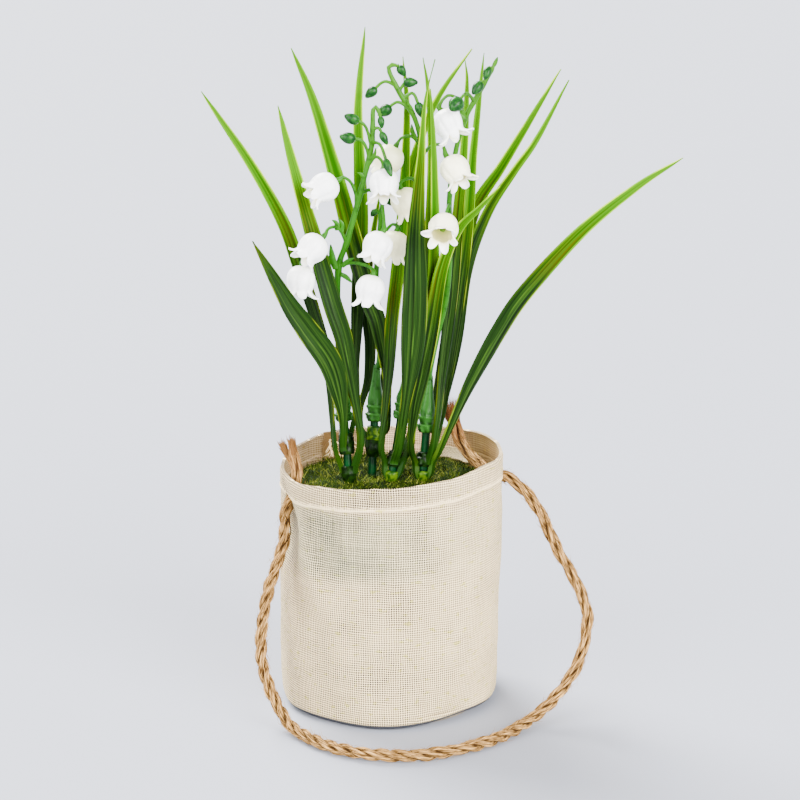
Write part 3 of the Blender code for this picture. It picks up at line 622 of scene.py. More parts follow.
@dataclass(frozen=True)
class LinenFinish:
    """Plain-woven linen, with slubs, open gaps and the filling showing through below the hem."""

    side: ClothSide
    thread: Colour
    shaded_thread: Colour
    gap: Colour
    # painted light: the thread colour where the lamps fall on the back of the inside, blended in by the glow
    # mark
    lit_thread: Colour = dye(0.85, 0.6, 0.36)
    through: Colour = dye(0.013, 0.019, 0.013)
    cool_thread: Colour = dye(0.62, 0.64, 0.36)
    slub: Colour = dye(0.7, 0.6, 0.12)
    # painted shade: multiplied into the cloth where the shade mark is high, in the crease at the left, under
    # the hem and above the foot's lip
    fold_shade: Colour = dye(0.34, 0.3, 0.27)
    # painted brown shade in the curled seam fold at the back left of the rim
    curl_shade: Colour = dye(0.11, 0.044, 0.006)
    # painted shadow along the foot of the wall, where it meets the floor
    foot_shadow: Colour = dye(0.02, 0.022, 0.03)
    threads_round: float = 304.0
    threads_up: float = 111.0
    wander: float = 1.1
    sinking: float = 0.4
    open_from: float = -0.035
    open_reach: float = 0.1
    crisp_reach: float = -0.055
    openness: float = 1.0
    right_side: tuple[float, float, float] = (0.008, 0.034, 0.84)
    stain: Colour = dye(0.26, 0.135, 0.018)
    # how strong the stains are, and how strong the painted curl shade is
    stained: float = 0.0

    def weave(self, board: Board, ways: Sequence[Socket]) -> tuple[Socket, Socket]:
        """Cross the warp and the weft, each over one and under one.

        Args:
            board: The material's board.
            ways: The counts of threads crossed, round the bag and up it.

        Returns:
            The height of the threads, and how far a place is into a gap between them.
        """
        ridges = [board.scaled(board.math("COSINE", board.times(way, math.tau)), 0.5, 0.5) for way in ways]
        over = board.times(*[board.math("COSINE", board.times(way, math.pi)) for way in ways])
        tops = [board.times(ridge, board.scaled(over, lean, 1.0 - self.sinking))
                for ridge, lean in zip(ridges, (self.sinking, -self.sinking))]
        return board.math("MAXIMUM", *tops), board.times(*[board.math("SUBTRACT", 1.0, r) for r in ridges])

    def yarn(self, board: Board, ways: Sequence[Socket], slub: Socket, mottle: Socket) -> Socket:
        """Give the threads' colour, with stains, slubs and specks, and painted light on the back and back left
        of the wall.

        Args:
            board: The material's board.
            ways: The counts of threads crossed, round the bag and up it.
            slub: Where the threads are thick.
            mottle: The soft patches of the cloth.

        Returns:
            The colour.
        """
        thread = board.blend(mottle, 0.42, 0.56, self.stained, (self.thread, self.stain))
        # painted light: the threads take the lit colour where the glow mark is high
        thread = board.mix(board.mark("glow"), thread, self.lit_thread)
        thread = board.blend(slub, 0.64, 0.36, 0.28, (thread, self.shaded_thread))
        thread = board.blend(mottle, 0.4, 0.75, 0.12, (thread, self.shaded_thread))
        speck = board.noise(board.times(ways[0], 0.26), board.times(ways[1], 0.5), 11.0, 1.0)
        return board.blend(speck, 0.64, 0.69, 0.8, (thread, self.slub))

    def material(self) -> Material:
        """Weave the material on the wall's UV map.

        Returns:
            The material.
        """
        board = Board(self.side.value, 0.93)
        u, v = board.axes()
        wander = board.noise(board.times(u, 40.0), board.times(v, 15.0), 0.0, 2.0)
        shift = board.times(board.math("SUBTRACT", wander, 0.5), self.wander)
        warp = board.plus(board.times(u, self.threads_round), shift)
        weft = board.plus(board.times(v, self.threads_up), shift)
        height, gap = self.weave(board, (warp, weft))
        warp_slub = board.noise(board.times(warp, 0.9), board.times(weft, 0.04), 3.0)
        weft_slub = board.noise(board.times(warp, 0.04), board.times(weft, 0.9), 8.0)
        slub = board.times(board.plus(warp_slub, weft_slub), 0.5)
        mottle = board.noise(board.times(u, 18.0), board.times(v, 7.0), 4.0, 3.0)
        thread = self.yarn(board, (warp, weft), slub, mottle)
        show = board.mark("show")
        thread = board.mix(board.times(show, 0.45), thread, self.cool_thread)
        hole = board.mix(show, self.gap, self.through)
        low = board.scaled(slub, 0.08, self.open_from)
        reach = board.scaled(board.mark("crisp"), self.crisp_reach, self.open_reach)
        depth = board.span(gap, low, board.plus(low, reach))
        depth = board.times(depth, board.math("MAXIMUM", board.span(mottle, 0.25, 0.7, 1.0, 0.86), show))
        start, end, share = self.right_side
        right = board.span(board.axes(uv=False)[0], start, end, self.openness, self.openness * share)
        depth = board.times(board.times(depth, right), board.math("SUBTRACT", 1.0, board.mark("seam")))
        woven = board.mix(depth, thread, hole)
        woven = board.mix(board.times(show, 0.07), woven, self.through)
        # painted shade in the crease at the left and along the lines under the hem and above the foot's lip
        woven = board.mix(board.mark("shade"), woven, self.fold_shade, "MULTIPLY")
        # painted brown shade in the curled fold at the back left of the rim
        woven = board.mix(board.times(board.mark("curl"), self.stained), woven, self.curl_shade)
        # painted shadow along the foot of the wall
        woven = board.mix(board.mark("painted_foot_shadow"), woven, self.foot_shadow)
        board.relief(board.scaled(slub, 0.25, height), 0.2, 0.7)
        return board.colour(woven)


@dataclass(frozen=True)
class JuteFinish:
    """Golden tan jute, streaked along its fibres, with painted shade between the strands and in the dips
    between their yarns.
    """

    name: str = "jute"
    light: Colour = dye(0.55, 0.31, 0.105)
    mid: Colour = dye(0.18, 0.092, 0.026)
    # the darkest fibres, and also the painted shade between the strands
    dark: Colour = dye(0.022, 0.009, 0.002)
    tail: Colour = dye(0.13, 0.045, 0.014)

    def material(self) -> Material:
        """Streak the material along the strands' UV map.

        Returns:
            The material.
        """
        board = Board(self.name, 0.85, 0.04)
        u, v = board.axes()
        across = board.scaled(v, 4.0, board.times(u, 21.0))
        fibres = board.noise(across, board.times(v, 2.2), 0.0, 3.0, 0.65)
        patches = board.noise(board.times(u, 2.0), board.times(v, 1.2), 5.0, 2.0)
        colour = board.ramp(fibres, [(0.39, self.dark), (0.48, self.mid), (0.58, self.light)])
        colour = board.blend(patches, 0.45, 0.7, 0.35, (colour, self.mid))
        # painted shade where the crevice mark is high, between the strands and in the dips between the yarns
        colour = board.mix(board.mark("crevice"), colour, self.dark)
        colour = board.mix(board.mark("tail"), colour, self.tail)
        board.relief(fibres, 0.4, 1.0)
        return board.colour(colour)


@dataclass(frozen=True)
class MossFinish:
    """Dyed moss, from dark green to olive and yellow-green."""

    name: str = "moss"
    grain: float = 900.0
    stops: tuple[tuple[float, Colour], ...] = (
        (0.0, dye(0.0012, 0.005, 0.0003)), (0.3, dye(0.01, 0.022, 0.001)), (0.55, dye(0.026, 0.045, 0.0024)),
        (0.8, dye(0.06, 0.09, 0.006)), (1.0, dye(0.17, 0.18, 0.026)))

    def material(self) -> Material:
        """Colour the fibres by the number stored on each.

        Returns:
            The material.
        """
        board = Board(self.name, 0.9, 0.05)
        mottle = board.solid_noise(self.grain)
        value = board.plus(board.mark("tone"), board.scaled(mottle, 0.3, -0.15))
        return board.colour(board.ramp(value, self.stops))


@dataclass(frozen=True)
class PlasticFinish:
    """Moulded plastic in one green, with faint mottling."""

    name: str
    light: Colour
    dark: Colour
    roughness: float = 0.4
    gloss: float = 0.3
    grain: float = 260.0

    def material(self) -> Material:
        """Mottle the plastic on the object's own coordinates.

        Returns:
            The material.
        """
        board = Board(self.name, self.roughness, self.gloss)
        patches = board.solid_noise(self.grain)
        fine = board.solid_noise(self.grain * 8.0, 3.0)
        board.relief(board.scaled(fine, 0.3, patches), 0.15, 0.6)
        return board.colour(board.mix(board.span(patches, 0.35, 0.68), self.dark, self.light))


@dataclass(frozen=True)
class StalkFinish:
    """Flower-stalk plastic: blue-green at the socket, then bright green, lighter towards the top, with painted
    shade in the socket's grooves.
    """

    name: str = "flower_stalk"
    foot: float = 0.108
    rise: float = 0.14
    low: Colour = dye(0.019, 0.092, 0.011)
    middle: Colour = dye(0.014, 0.09, 0.0015)
    high: Colour = dye(0.03, 0.115, 0.002)
    # darker mottling, and the painted shade in the socket's grooves
    mottle_and_groove_shade: Colour = dye(0.003, 0.022, 0.001)

    def material(self) -> Material:
        """Grade the plastic by height on the object's own coordinates.

        Returns:
            The material.
        """
        board = Board(self.name, 0.36, 0.09)
        share = board.scaled(board.axes(uv=False)[2], 1.0 / self.rise, -self.foot / self.rise)
        stops = [(0.0, self.low), (0.14, self.low), (0.3, self.middle), (0.65, self.middle), (1.0, self.high)]
        colour = board.ramp(share, stops)
        patches = board.solid_noise(420.0, 3.0)
        colour = board.blend(patches, 0.5, 0.72, 0.6, (colour, self.mottle_and_groove_shade))
        # painted shade in the socket's grooves, where the dip mark is high
        colour = board.mix(board.mark("dip"), colour, self.mottle_and_groove_shade)
        board.relief(patches, 0.2, 0.6)
        return board.colour(colour)


@dataclass(frozen=True)
class LeafFinish:
    """Variegated leaf plastic: streaked dark green below, bright yellow-green above, with a pale margin that is
    partly a painted glint; the olive streaks are partly painted sheen.
    """

    name: str = "leaf"
    deep: Colour = dye(0.0013, 0.0052, 0.0006)
    dark: Colour = dye(0.005, 0.0185, 0.002)
    # the olive streaks: partly the leaf's own streak colour, partly painted satin sheen on its dark part
    olive_and_sheen: Colour = dye(0.022, 0.05, 0.006)
    pale: Colour = dye(0.035, 0.085, 0.008)
    rib: Colour = dye(0.007, 0.058, 0.0)
    bright: Colour = dye(0.03, 0.125, 0.0)
    lime: Colour = dye(0.077, 0.2, 0.0)
    # the pale margin: partly the leaf's edge colour, partly a painted glint
    margin_and_glint: Colour = dye(0.33, 0.46, 0.003)
    brown: Colour = dye(0.045, 0.03, 0.0002)
    stem: Colour = dye(0.006, 0.035, 0.001)

    def material(self) -> Material:
        """Streak the leaf along its UV map and grade it by the light stored on each point.

        Returns:
            The material.
        """
        board = Board(self.name, 0.36)
        u, v = board.axes()
        seed = board.mark("seed")
        side = board.math("ABSOLUTE", board.scaled(u, 2.0, -1.0))
        row = board.scaled(u, 9.0, board.times(seed, 31.0))
        streak = board.noise(row, board.times(v, 1.3), seed, 2.0, 0.6)
        veins = board.noise(board.times(row, 2.6), board.times(v, 3.5), 7.0, 2.0, 0.6)
        # the olive streaks in the dark part stand partly for painted sheen
        dark = board.ramp(streak, [(0.36, self.deep), (0.52, self.dark), (0.72, self.olive_and_sheen)])
        dark = board.blend(veins, 0.5, 0.68, 0.3, (dark, self.olive_and_sheen))
        dark = board.blend(veins, 0.46, 0.34, 0.6, (dark, self.deep))
        broken = board.noise(board.times(u, 2.0), board.times(v, 6.0), seed, 1.0)
        midrib = board.times(board.span(side, 0.1, 0.03), board.span(broken, 0.52, 0.62, 0.0, 0.6))
        dark = board.mix(midrib, dark, self.pale)
        dark = board.mix(board.mark("root"), dark, self.stem)
        bright = board.ramp(side, [(0.0, self.rib), (0.25, self.rib), (0.7, self.bright), (1.0, self.lime)])
        bright = board.blend(streak, 0.5, 0.66, 0.35, (bright, self.lime))
        bright = board.blend(streak, 0.48, 0.36, 0.8, (bright, self.rib))
        bright = board.blend(v, 0.72, 0.98, 0.35, (bright, self.lime))
        sun = board.plus(board.mark("sun"), board.scaled(streak, 0.7, -0.35))
        sun = board.scaled(side, 0.12, sun)
        colour = board.mix(board.span(sun, 0.12, 0.95), dark, bright)
        turning = board.times(board.span(sun, 0.2, 0.5), board.span(sun, 0.95, 0.65))
        turning = board.times(turning, board.span(veins, 0.5, 0.62))
        colour = board.mix(board.times(turning, 0.8), colour, self.brown)
        # painted glint along the edge, brighter where the leaf is bright, broken along its length and faint at
        # the root
        edge = board.times(board.span(side, 0.94, 1.0), board.span(sun, 0.0, 0.7, 0.16, 0.8))
        edge = board.times(edge, board.span(broken, 0.49, 0.6, 0.0, 0.9))
        edge = board.times(edge, board.span(board.mark("root"), 0.0, 0.35, 1.0, 0.12))
        colour = board.mix(edge, colour, self.margin_and_glint)
        board.feed(board.shader.inputs["Specular IOR Level"], board.span(sun, 0.0, 0.7, 0.035, 0.004))
        board.relief(board.scaled(veins, 0.5, streak), 0.18, 0.8)
        return board.colour(colour)


@dataclass(frozen=True)
class BellFinish:
    """Satin white plastic for a bell, outside or inside."""

    name: str
    lip: Colour
    deep: Colour
    top: Colour
    crown: float = 0.16
    cloud: Colour = dye(0.8, 0.81, 0.8)
    glow_depth: float = 2.0

    def material(self) -> Material:
        """Grade the bell from its top to its lip by the depth stored on each point.

        Returns:
            The material.
        """
        board = Board(self.name, 0.4)
        glow = {"Weight": 0.22, "Radius": (1.0, 1.0, 0.9), "Scale": self.glow_depth * MM}
        for name, value in glow.items():
            board.feed(board.shader.inputs["Subsurface " + name], value)
        stops = [(0.0, self.top), (self.crown, self.deep), (0.62, self.deep), (0.86, self.lip)]
        colour = board.ramp(board.mark("depth"), stops)
        cloud = board.solid_noise(330.0, 2.0)
        colour = board.mix(board.span(cloud, 0.4, 0.75, 0.0, 0.3), colour, self.cloud, "MULTIPLY")
        board.relief(cloud, 0.5, 1.0)
        return board.colour(colour)


@dataclass(frozen=True)
class PaintFinish:
    """One flat matt colour."""

    name: str
    paint: Colour

    def material(self) -> Material:
        """Paint the material."""
        return Board(self.name, 0.9).colour(self.paint)


class BellTint(Enum):
    """The white that a bell is moulded in."""

    WHITE = "white"
    CREAM = "cream"
    IVORY = "ivory"


def made(finish: type, *values: object, **others: object) -> Material:
    """Give a field of Finishes that holds a finish's material, made when Finishes is."""
    return field(default_factory=finish(*values, **others).material)


@dataclass(frozen=True)
class Finishes:
    """Every finish of the pot plant, made once."""

    outside: Material = made(
        LinenFinish, ClothSide.OUTSIDE, dye(0.99, 0.775, 0.42), dye(0.86, 0.62, 0.28),
        dye(0.012, 0.006, 0.003))
    inside: Material = made(
        LinenFinish, ClothSide.INSIDE, dye(0.31, 0.198, 0.04), dye(0.2, 0.12, 0.022), dye(0.09, 0.048, 0.012),
        open_from=0.03, slub=dye(0.4, 0.25, 0.04), openness=0.75, stained=0.8)
    # painted shade: the base panel is dyed dark so that its edge under the foot reads as shadow
    card: Material = made(
        PlasticFinish, "base_panel", dye(0.3, 0.24, 0.17), dye(0.2, 0.16, 0.11), 0.95, 0.1, 900.0)
    sewing: Material = made(
        PlasticFinish, "sewing_thread", dye(0.8, 0.62, 0.38), dye(0.6, 0.45, 0.26), 0.95, 0.1, 900.0)
    pistil: Material = made(
        PlasticFinish, "pistil", dye(0.16, 0.24, 0.01), dye(0.06, 0.15, 0.004), 0.4, 0.1, 620.0)
    jute: Material = made(JuteFinish)
    moss: Material = made(MossFinish)
    foam: Material = made(
        PlasticFinish, "dry_foam", dye(0.09, 0.12, 0.03), dye(0.04, 0.06, 0.015), 0.95, 0.1, 2400.0)
    rod: Material = made(
        PlasticFinish, "rod", dye(0.0008, 0.028, 0.0055), dye(0.0003, 0.01, 0.0025), 0.3, 0.06)
    leaf: Material = made(LeafFinish)
    cup: Material = made(
        PlasticFinish, "leaf_cup", dye(0.05, 0.1, 0.001), dye(0.003, 0.026, 0.0005), 0.34, 0.06, 620.0)
    collar: Material = made(
        PlasticFinish, "leaf_collar", dye(0.004, 0.017, 0.001), dye(0.0008, 0.004, 0.0005), 0.32, 0.06, 620.0)
    stalk: Material = made(StalkFinish)
    bud: Material = made(
        PlasticFinish, "bud", dye(0.009, 0.066, 0.006), dye(0.002, 0.024, 0.003), 0.26, 0.11, 620.0)
    white: Material = made(
        BellFinish, "bell_outside", dye(0.97, 0.97, 0.96), dye(0.95, 0.955, 0.94), dye(0.86, 0.9, 0.74))
    cream: Material = made(
        BellFinish, "creamy_bell_outside", dye(0.95, 0.9, 0.64), dye(0.9, 0.85, 0.52), dye(0.8, 0.82, 0.4))
    ivory: Material = made(
        BellFinish, "ivory_bell_outside", dye(0.96, 0.94, 0.74), dye(0.94, 0.9, 0.62), dye(0.85, 0.88, 0.55))
    throat: Material = made(
        BellFinish, "bell_inside", dye(0.97, 0.96, 0.86), dye(0.96, 0.88, 0.45), dye(0.3, 0.5, 0.01), 0.3)
    backdrop: Material = made(PaintFinish, "backdrop", dye(0.262, 0.274, 0.318))

    def bell(self, tint: BellTint) -> Material:
        """Give the outside of a bell of a tint."""
        return {BellTint.WHITE: self.white, BellTint.CREAM: self.cream, BellTint.IVORY: self.ivory}[tint]


# The studio


@dataclass(frozen=True)
class SoftLight:
    """A very soft light: the direction that it comes from, how wide it is in degrees, and its strength."""

    name: str
    come_from: Point
    spread: float
    power: float

    def build(self) -> None:
        """Shine the light."""
        data = bpy.data.lights.new(self.name, "SUN")
        data.angle = math.radians(self.spread)
        data.energy = self.power
        sun = bpy.data.objects.new(self.name, data)
        sun.rotation_euler = Vector(self.come_from).to_track_quat("Z", "Y").to_euler()
        bpy.context.scene.collection.objects.link(sun)


@dataclass
class Studio:
    """A plain pale floor, soft lights and the camera at the photograph's angle."""

    finishes: Finishes
    lens: float = 107.7
    place: Point = (0.0046, -0.896, 0.357)
    pitch: float = 14.8
    floor_radius: float = 9.0
    all_round: float = 1.5
    lights: tuple[SoftLight, ...] = (
        SoftLight("top_light", (-0.85, 1.2, 1.4), 36.0, 17.6),
        SoftLight("right_light", (1.0, -1.2, 0.55), 45.0, 14.0),
        SoftLight("left_light", (-1.0, -1.2, 0.6), 55.0, 8.9),
    )

    def build_camera(self) -> None:
        """Set the camera where the photograph was taken."""
        data = bpy.data.cameras.new("camera")
        data.lens = self.lens
        data.sensor_width = 36.0
        data.clip_start = 0.05
        data.clip_end = 50.0
        camera = bpy.data.objects.new("camera", data)
        camera.location = self.place
        camera.rotation_euler = (math.radians(90.0 - self.pitch), 0.0, 0.0)
        bpy.context.scene.collection.objects.link(camera)
        bpy.context.scene.camera = camera

    def build_lights(self) -> None:
        """Light the studio evenly from all round, and shape the plant with its soft lights."""
        world = bpy.data.worlds.new("studio")
        bpy.context.scene.world = world
        world.use_nodes = True
        glow = world.node_tree.nodes["Background"]
        glow.inputs["Color"].default_value = (1.0, 1.0, 1.0, 1.0)
        glow.inputs["Strength"].default_value = self.all_round
        for light in self.lights:
            light.build()

    def build_floor(self) -> None:
        """Lay the pale floor, which fills the camera's view."""
        Bench.clear()
        bpy.ops.mesh.primitive_circle_add(vertices=96, radius=self.floor_radius, fill_type="NGON")
        floor = Bench.named("studio_floor")
        Bench.coat(floor, self.finishes.backdrop)

    def build(self) -> None:
        """Build the studio's lights and floor."""
        self.build_lights()
        self.build_floor()
        LOG.info("studio built")


# Loose fibres, used by the rope, the moss and the frayed linen


@dataclass
class Fibre:
    """One loose fibre: where it starts, the way it goes, how far, and how it bends."""

    root: Vector
    way: Vector
    length: float
    thickness: float
    bend: Vector
    tone: float = 0.0


FIBRE_TAPER = 0.75


def fibre_piece(name: str, fibres: Sequence[Fibre], steps: int, mark: str) -> Piece:
    """Model many fibres as tapered three-sided spikes in one mesh.

    Args:
        name: The piece's name.
        fibres: The fibres.
        steps: How many segments each fibre has.
        mark: The name that the fibre's tone is stored under.

    Returns:
        The piece.
    """
    points, faces, tones = [], [], []
    for fibre in fibres:
        side = fibre.way.orthogonal().normalized()
        up = fibre.way.cross(side)
        first = len(points)
        for step in range(steps):
            share = step / steps
            centre = fibre.root + fibre.way * (fibre.length * share) + fibre.bend * share**2
            radius = fibre.thickness * (1.0 - FIBRE_TAPER * share)
            for corner in range(3):
                points.append(centre + round_way(corner * math.tau / 3.0, side, up) * radius)
        points.append(fibre.root + fibre.way * fibre.length + fibre.bend)
        tip = len(points) - 1
        for step in range(steps - 1):
            low = first + 3 * step
            for corner in range(3):
                other = (corner + 1) % 3
                faces.append((low + corner, low + other, low + 3 + other, low + 3 + corner))
        last = first + 3 * (steps - 1)
        for corner in range(3):
            faces.append((last + corner, last + (corner + 1) % 3, tip))
        faces.append((first + 2, first + 1, first))
        tones += [fibre.tone] * (3 * steps + 1)
    piece = Bench.from_points(name, points, faces)
    Bench.mark(piece, mark, tones)
    return piece


def random_way(draw: random.Random) -> Vector:
    """Draw a direction at random.

    Args:
        draw: The random numbers.

    Returns:
        A direction of length 1.
    """
    z = draw.uniform(-1.0, 1.0)
    turn = draw.uniform(0.0, math.tau)
    flat = math.sqrt(1.0 - z * z)
    return Vector((flat * math.cos(turn), flat * math.sin(turn), z))


# The rope handle

LEFT_TAIL = [(-39.5, -2, 107), (-37.5, -4.5, 100.5), (-35.3, -8, 93), (-35.8, -11.5, 86.5)]
LEFT_HOLE = [(-38.8, -14.6, 81.6), (-39.8, -16.2, 77)]
LEFT_SIDE = [(-40.2, -18.3, 68.5), (-42.9, -20.4, 60), (-46.1, -23, 50.6), (-48.4, -26, 38.6)]
LEFT_DOWN = [(-48.9, -29, 26.2), (-46.8, -32, 17.5), (-42.5, -37.5, 9), (-37, -44.5, 3.4)]
FRONT = [(-30, -54, 2.8), (-21.6, -62.6, 2.8), (-8, -69.8, 2.8), (8.3, -71.6, 2.8), (22, -67.8, 2.8)]
FRONT_RIGHT = [(33, -61.6, 2.8), (45, -51, 2.8), (55.5, -39, 4.4), (64.5, -33, 10.5)]
RIGHT_SIDE = [(73, -26, 20.5), (77, -20.5, 33), (76.6, -17, 42.3), (71.9, -13, 52.8)]
RIGHT_DOWN = [(65.6, -10.5, 63.5), (59.4, -7.5, 76.5), (52.6, -4.8, 85.6), (47.2, -2.6, 89.4)]
RIGHT_HOLE = [(42.5, -0.5, 90.4), (38.5, 5, 91.2)]
RIGHT_TAIL = [(33.5, 13, 93), (29, 21, 97), (26.5, 27, 102.5), (25, 30.5, 109)]
ROPE_ROUTE = LEFT_TAIL + LEFT_HOLE + LEFT_SIDE + LEFT_DOWN + FRONT + FRONT_RIGHT
ROPE_ROUTE += RIGHT_SIDE + RIGHT_DOWN + RIGHT_HOLE + RIGHT_TAIL


class TailEnd(Enum):
    """How a tail of the rope ends: splayed at the left, frayed at the right."""

    SPLAYED = "splayed"
    FRAYED = "frayed"


@dataclass(frozen=True)
class TailBrush:
    """The fibres of a cut tail: their count, length, thickness, lean, bend and tone, and their rings."""

    count: int
    length: tuple[float, float]
    thickness: tuple[float, float]
    lean: float
    bend: float
    tone: float
    seed: int
    tip_ring: int
    back_ring: int


TAIL_BRUSHES = {
    TailEnd.SPLAYED: TailBrush(count=120, length=(3.6, 6.2), thickness=(0.14, 0.3), lean=0.16, bend=0.1,
                               tone=0.5, seed=7, tip_ring=6, back_ring=20),
    TailEnd.FRAYED: TailBrush(count=150, length=(5.0, 9.5), thickness=(0.1, 0.2), lean=0.3, bend=0.2,
                              tone=0.9, seed=19, tip_ring=-4, back_ring=-16),
}
# The spans of x, y and z in which each tail's rope passes through the wall
HOLE_SPANS = {
    TailEnd.SPLAYED: ((-99.0, -30.0), (-99.0, 99.0), (72.0, 96.0)),
    TailEnd.FRAYED: ((34.0, 52.0), (-5.0, 99.0), (80.0, 999.0)),
}
THREAD_LOOP = [
    (-39.2, -19.6, 79.2), (-37.6, -21.6, 76.6), (-37.3, -22.4, 73.4), (-38.6, -22.2, 70.4),
    (-40.6, -21, 67.6)]


@dataclass
class RopeHandle:
    """A jute rope of three loosely twisted strands, lying round the front of the bag."""

    finishes: Finishes
    diameter: float = 5.0
    strands: int = 3
    strand_radius: float = 1.08
    strand_offset: float = 1.22
    first_rings: tuple[int, ...] = (4, 9, 6)
    rings_short: tuple[int, ...] = (3, 0, 6)
    pitch: float = 21.0
    open_pitch: float = 32.0
    tail_pitch: float = 60.0
    opening: tuple[float, float] = (0.6, 0.68)
    closing: tuple[float, float] = (0.86, 0.9)
    rings: int = 560
    path_points: int = 160
    sides: int = 20
    yarns: int = 4
    rib: float = 0.18
    fuzz_count: int = 1500
    fuzz_seed: int = 41
    thread_radius: float = 0.22
    room: float = 3.1
    uv_length: float = 10.0

    def __post_init__(self) -> None:
        """Lay the middle of the rope and carry its cross directions along it."""
        self.line = self.route(self.rings)
        self.frames = carried_frames(self.line)
        self.total = route_length(self.line)
        self.turns = self.strand_turns()

    def route(self, count: int) -> list[Vector]:
        """Give points along the middle of the rope, from the left tail to the right one."""
        return smooth_route(ROPE_ROUTE, count)

    def along(self, ring: int) -> float:
        """Give how far along the rope a ring is."""
        return ring / (self.rings - 1) * self.total

    def room_cutter(self, end: TailEnd) -> Piece:
        """Model the room that the rope takes where it passes through the wall.

        Args:
            end: Which tail's hole.

        Returns:
            A tube round the rope.
        """
        line = [point for point in self.route(self.path_points)
                if all(low < place < high for place, (low, high) in zip(point, HOLE_SPANS[end]))]
        return Bench.tube("rope_room", line, [self.room] * len(line), 12)

    def strand_turns(self) -> list[float]:
        """Give how far the strands have turned at each ring: less where loose, least at the tails.

        Returns:
            A turn in radians for each ring.
        """
        turn, found = 0.4, []
        for ring in range(self.rings):
            along = self.along(ring)
            loose = ease_in(along, *(share * self.total for share in self.opening))
            loose -= ease_in(along, *(share * self.total for share in self.closing))
            tail = 1.0 - ease_in(along, 8.0, 26.0) + ease_in(along, self.total - 40.0, self.total - 24.0)
            rate = (1.0 - loose) / self.pitch + loose / self.open_pitch
            rate = rate * (1.0 - tail) + tail / self.tail_pitch
            found.append(turn)
            turn += math.tau * rate * self.total / (self.rings - 1)
        return found

    def strand_middle(self, index: int, ring: int) -> Vector:
        """Give the middle of a strand at a ring of the rope, wider apart at the tails.

        Args:
            index: Which strand.
            ring: Which ring.

        Returns:
            The middle.
        """
        along = self.along(ring)
        wander = ripple(along * 0.09, index * 9.0, 3.0)
        splay = 1.0 + 1.15 * (1.0 - ease_in(along, 0.0, 15.0)) + 0.3 * wander
        splay += 0.35 * ease_in(along, self.total - 26.0, self.total - 12.0)
        turn = self.turns[ring] + math.tau * index / self.strands
        _, side, up = self.frames[ring]
        return self.line[ring] + round_way(turn, side, up) * (self.strand_offset * splay)

    def yarn_turn(self, along: float, index: int) -> float:
        """Give how far the yarns of a strand have turned, a little unevenly."""
        return 0.35 * along + 2.5 * ripple(along * 0.06, index * 7.0, 8.0)

    def strand(self, index: int) -> Piece:
        """Sweep one strand, ribbed by its own twisted yarns.

        Args:
            index: Which strand.

        Returns:
            The strand.
        """
        points, crevice, tails = [], [], []
        first_ring, last_ring = self.first_rings[index], self.rings - self.rings_short[index]
        for ring in range(first_ring, last_ring):
            along = self.along(ring)
            _, side, up = self.frames[ring]
            centre = self.strand_middle(index, ring)
            swell = self.strand_radius * (1.0 + 0.16 * ripple(along * 0.22, index * 5.0, 0.0))
            end_gap = min(ring - first_ring, last_ring - 1 - ring)
            swell *= 0.8 + 0.2 * min(1.0, end_gap / 3.0)
            tail = 0.85 * ease_in(along, self.total - 24.0, self.total - 6.0)
            tail += 0.4 * (1.0 - ease_in(along, 4.0, 24.0))
            for corner in range(self.sides):
                angle = math.tau * corner / self.sides
                yarn = math.cos(self.yarns * angle + self.yarn_turn(along, index))
                ribs = 1.0 + self.rib * yarn
                ribs += 0.07 * ripple(along * 1.2, angle * 2.0, index * 3.0)
                point = centre + round_way(angle, side, up) * (swell * ribs)
                points.append(point)
                # painted shade: the crevice mark darkens the strand's side that faces the rope's middle and the
                # dips between its yarns
                far = (point - self.line[ring]).length
                dip = 0.5 - 0.5 * yarn
                crevice.append(min(0.92, 0.95 * (1.0 - ease_in(far, 1.0, 2.0)) + 0.5 * dip**4))
                tails.append(tail)
        rings = last_ring - first_ring
        faces = []
        for ring in range(rings - 1):
            for corner in range(self.sides):
                low, other = ring * self.sides + corner, ring * self.sides + (corner + 1) % self.sides
                faces.append((low, other, other + self.sides, low + self.sides))
        faces.append(tuple(range(self.sides))[::-1])
        faces.append(tuple((rings - 1) * self.sides + corner for corner in range(self.sides)))
        piece = Bench.from_points(f"jute_strand_{index}", points, faces)
        self.unroll_strand(piece, first_ring)
        Bench.mark(piece, "crevice", crevice)
        Bench.mark(piece, "tail", tails)
        Bench.weld(piece, 0.001)
        return piece

    def unroll_strand(self, piece: Piece, first_ring: int) -> None:
        """Lay a strand's UV map flat, with u round it and v along it, apart from its two ends.

        Args:
            piece: The strand.
            first_ring: The ring that it starts at.
        """
        layer = piece.data.uv_layers.new(name="UVMap")
        long = self.total / self.rings / self.uv_length
        for number, polygon in enumerate(piece.data.polygons):
            if len(polygon.vertices) > 4:
                continue
            ring, corner = divmod(number, self.sides)
            u0, u1 = corner / self.sides, (corner + 1) / self.sides
            v0, v1 = (ring + first_ring) * long, (ring + 1 + first_ring) * long
            for loop, spot in zip(polygon.loop_indices, ((u0, v0), (u1, v0), (u1, v1), (u0, v1))):
                layer.data[loop].uv = spot

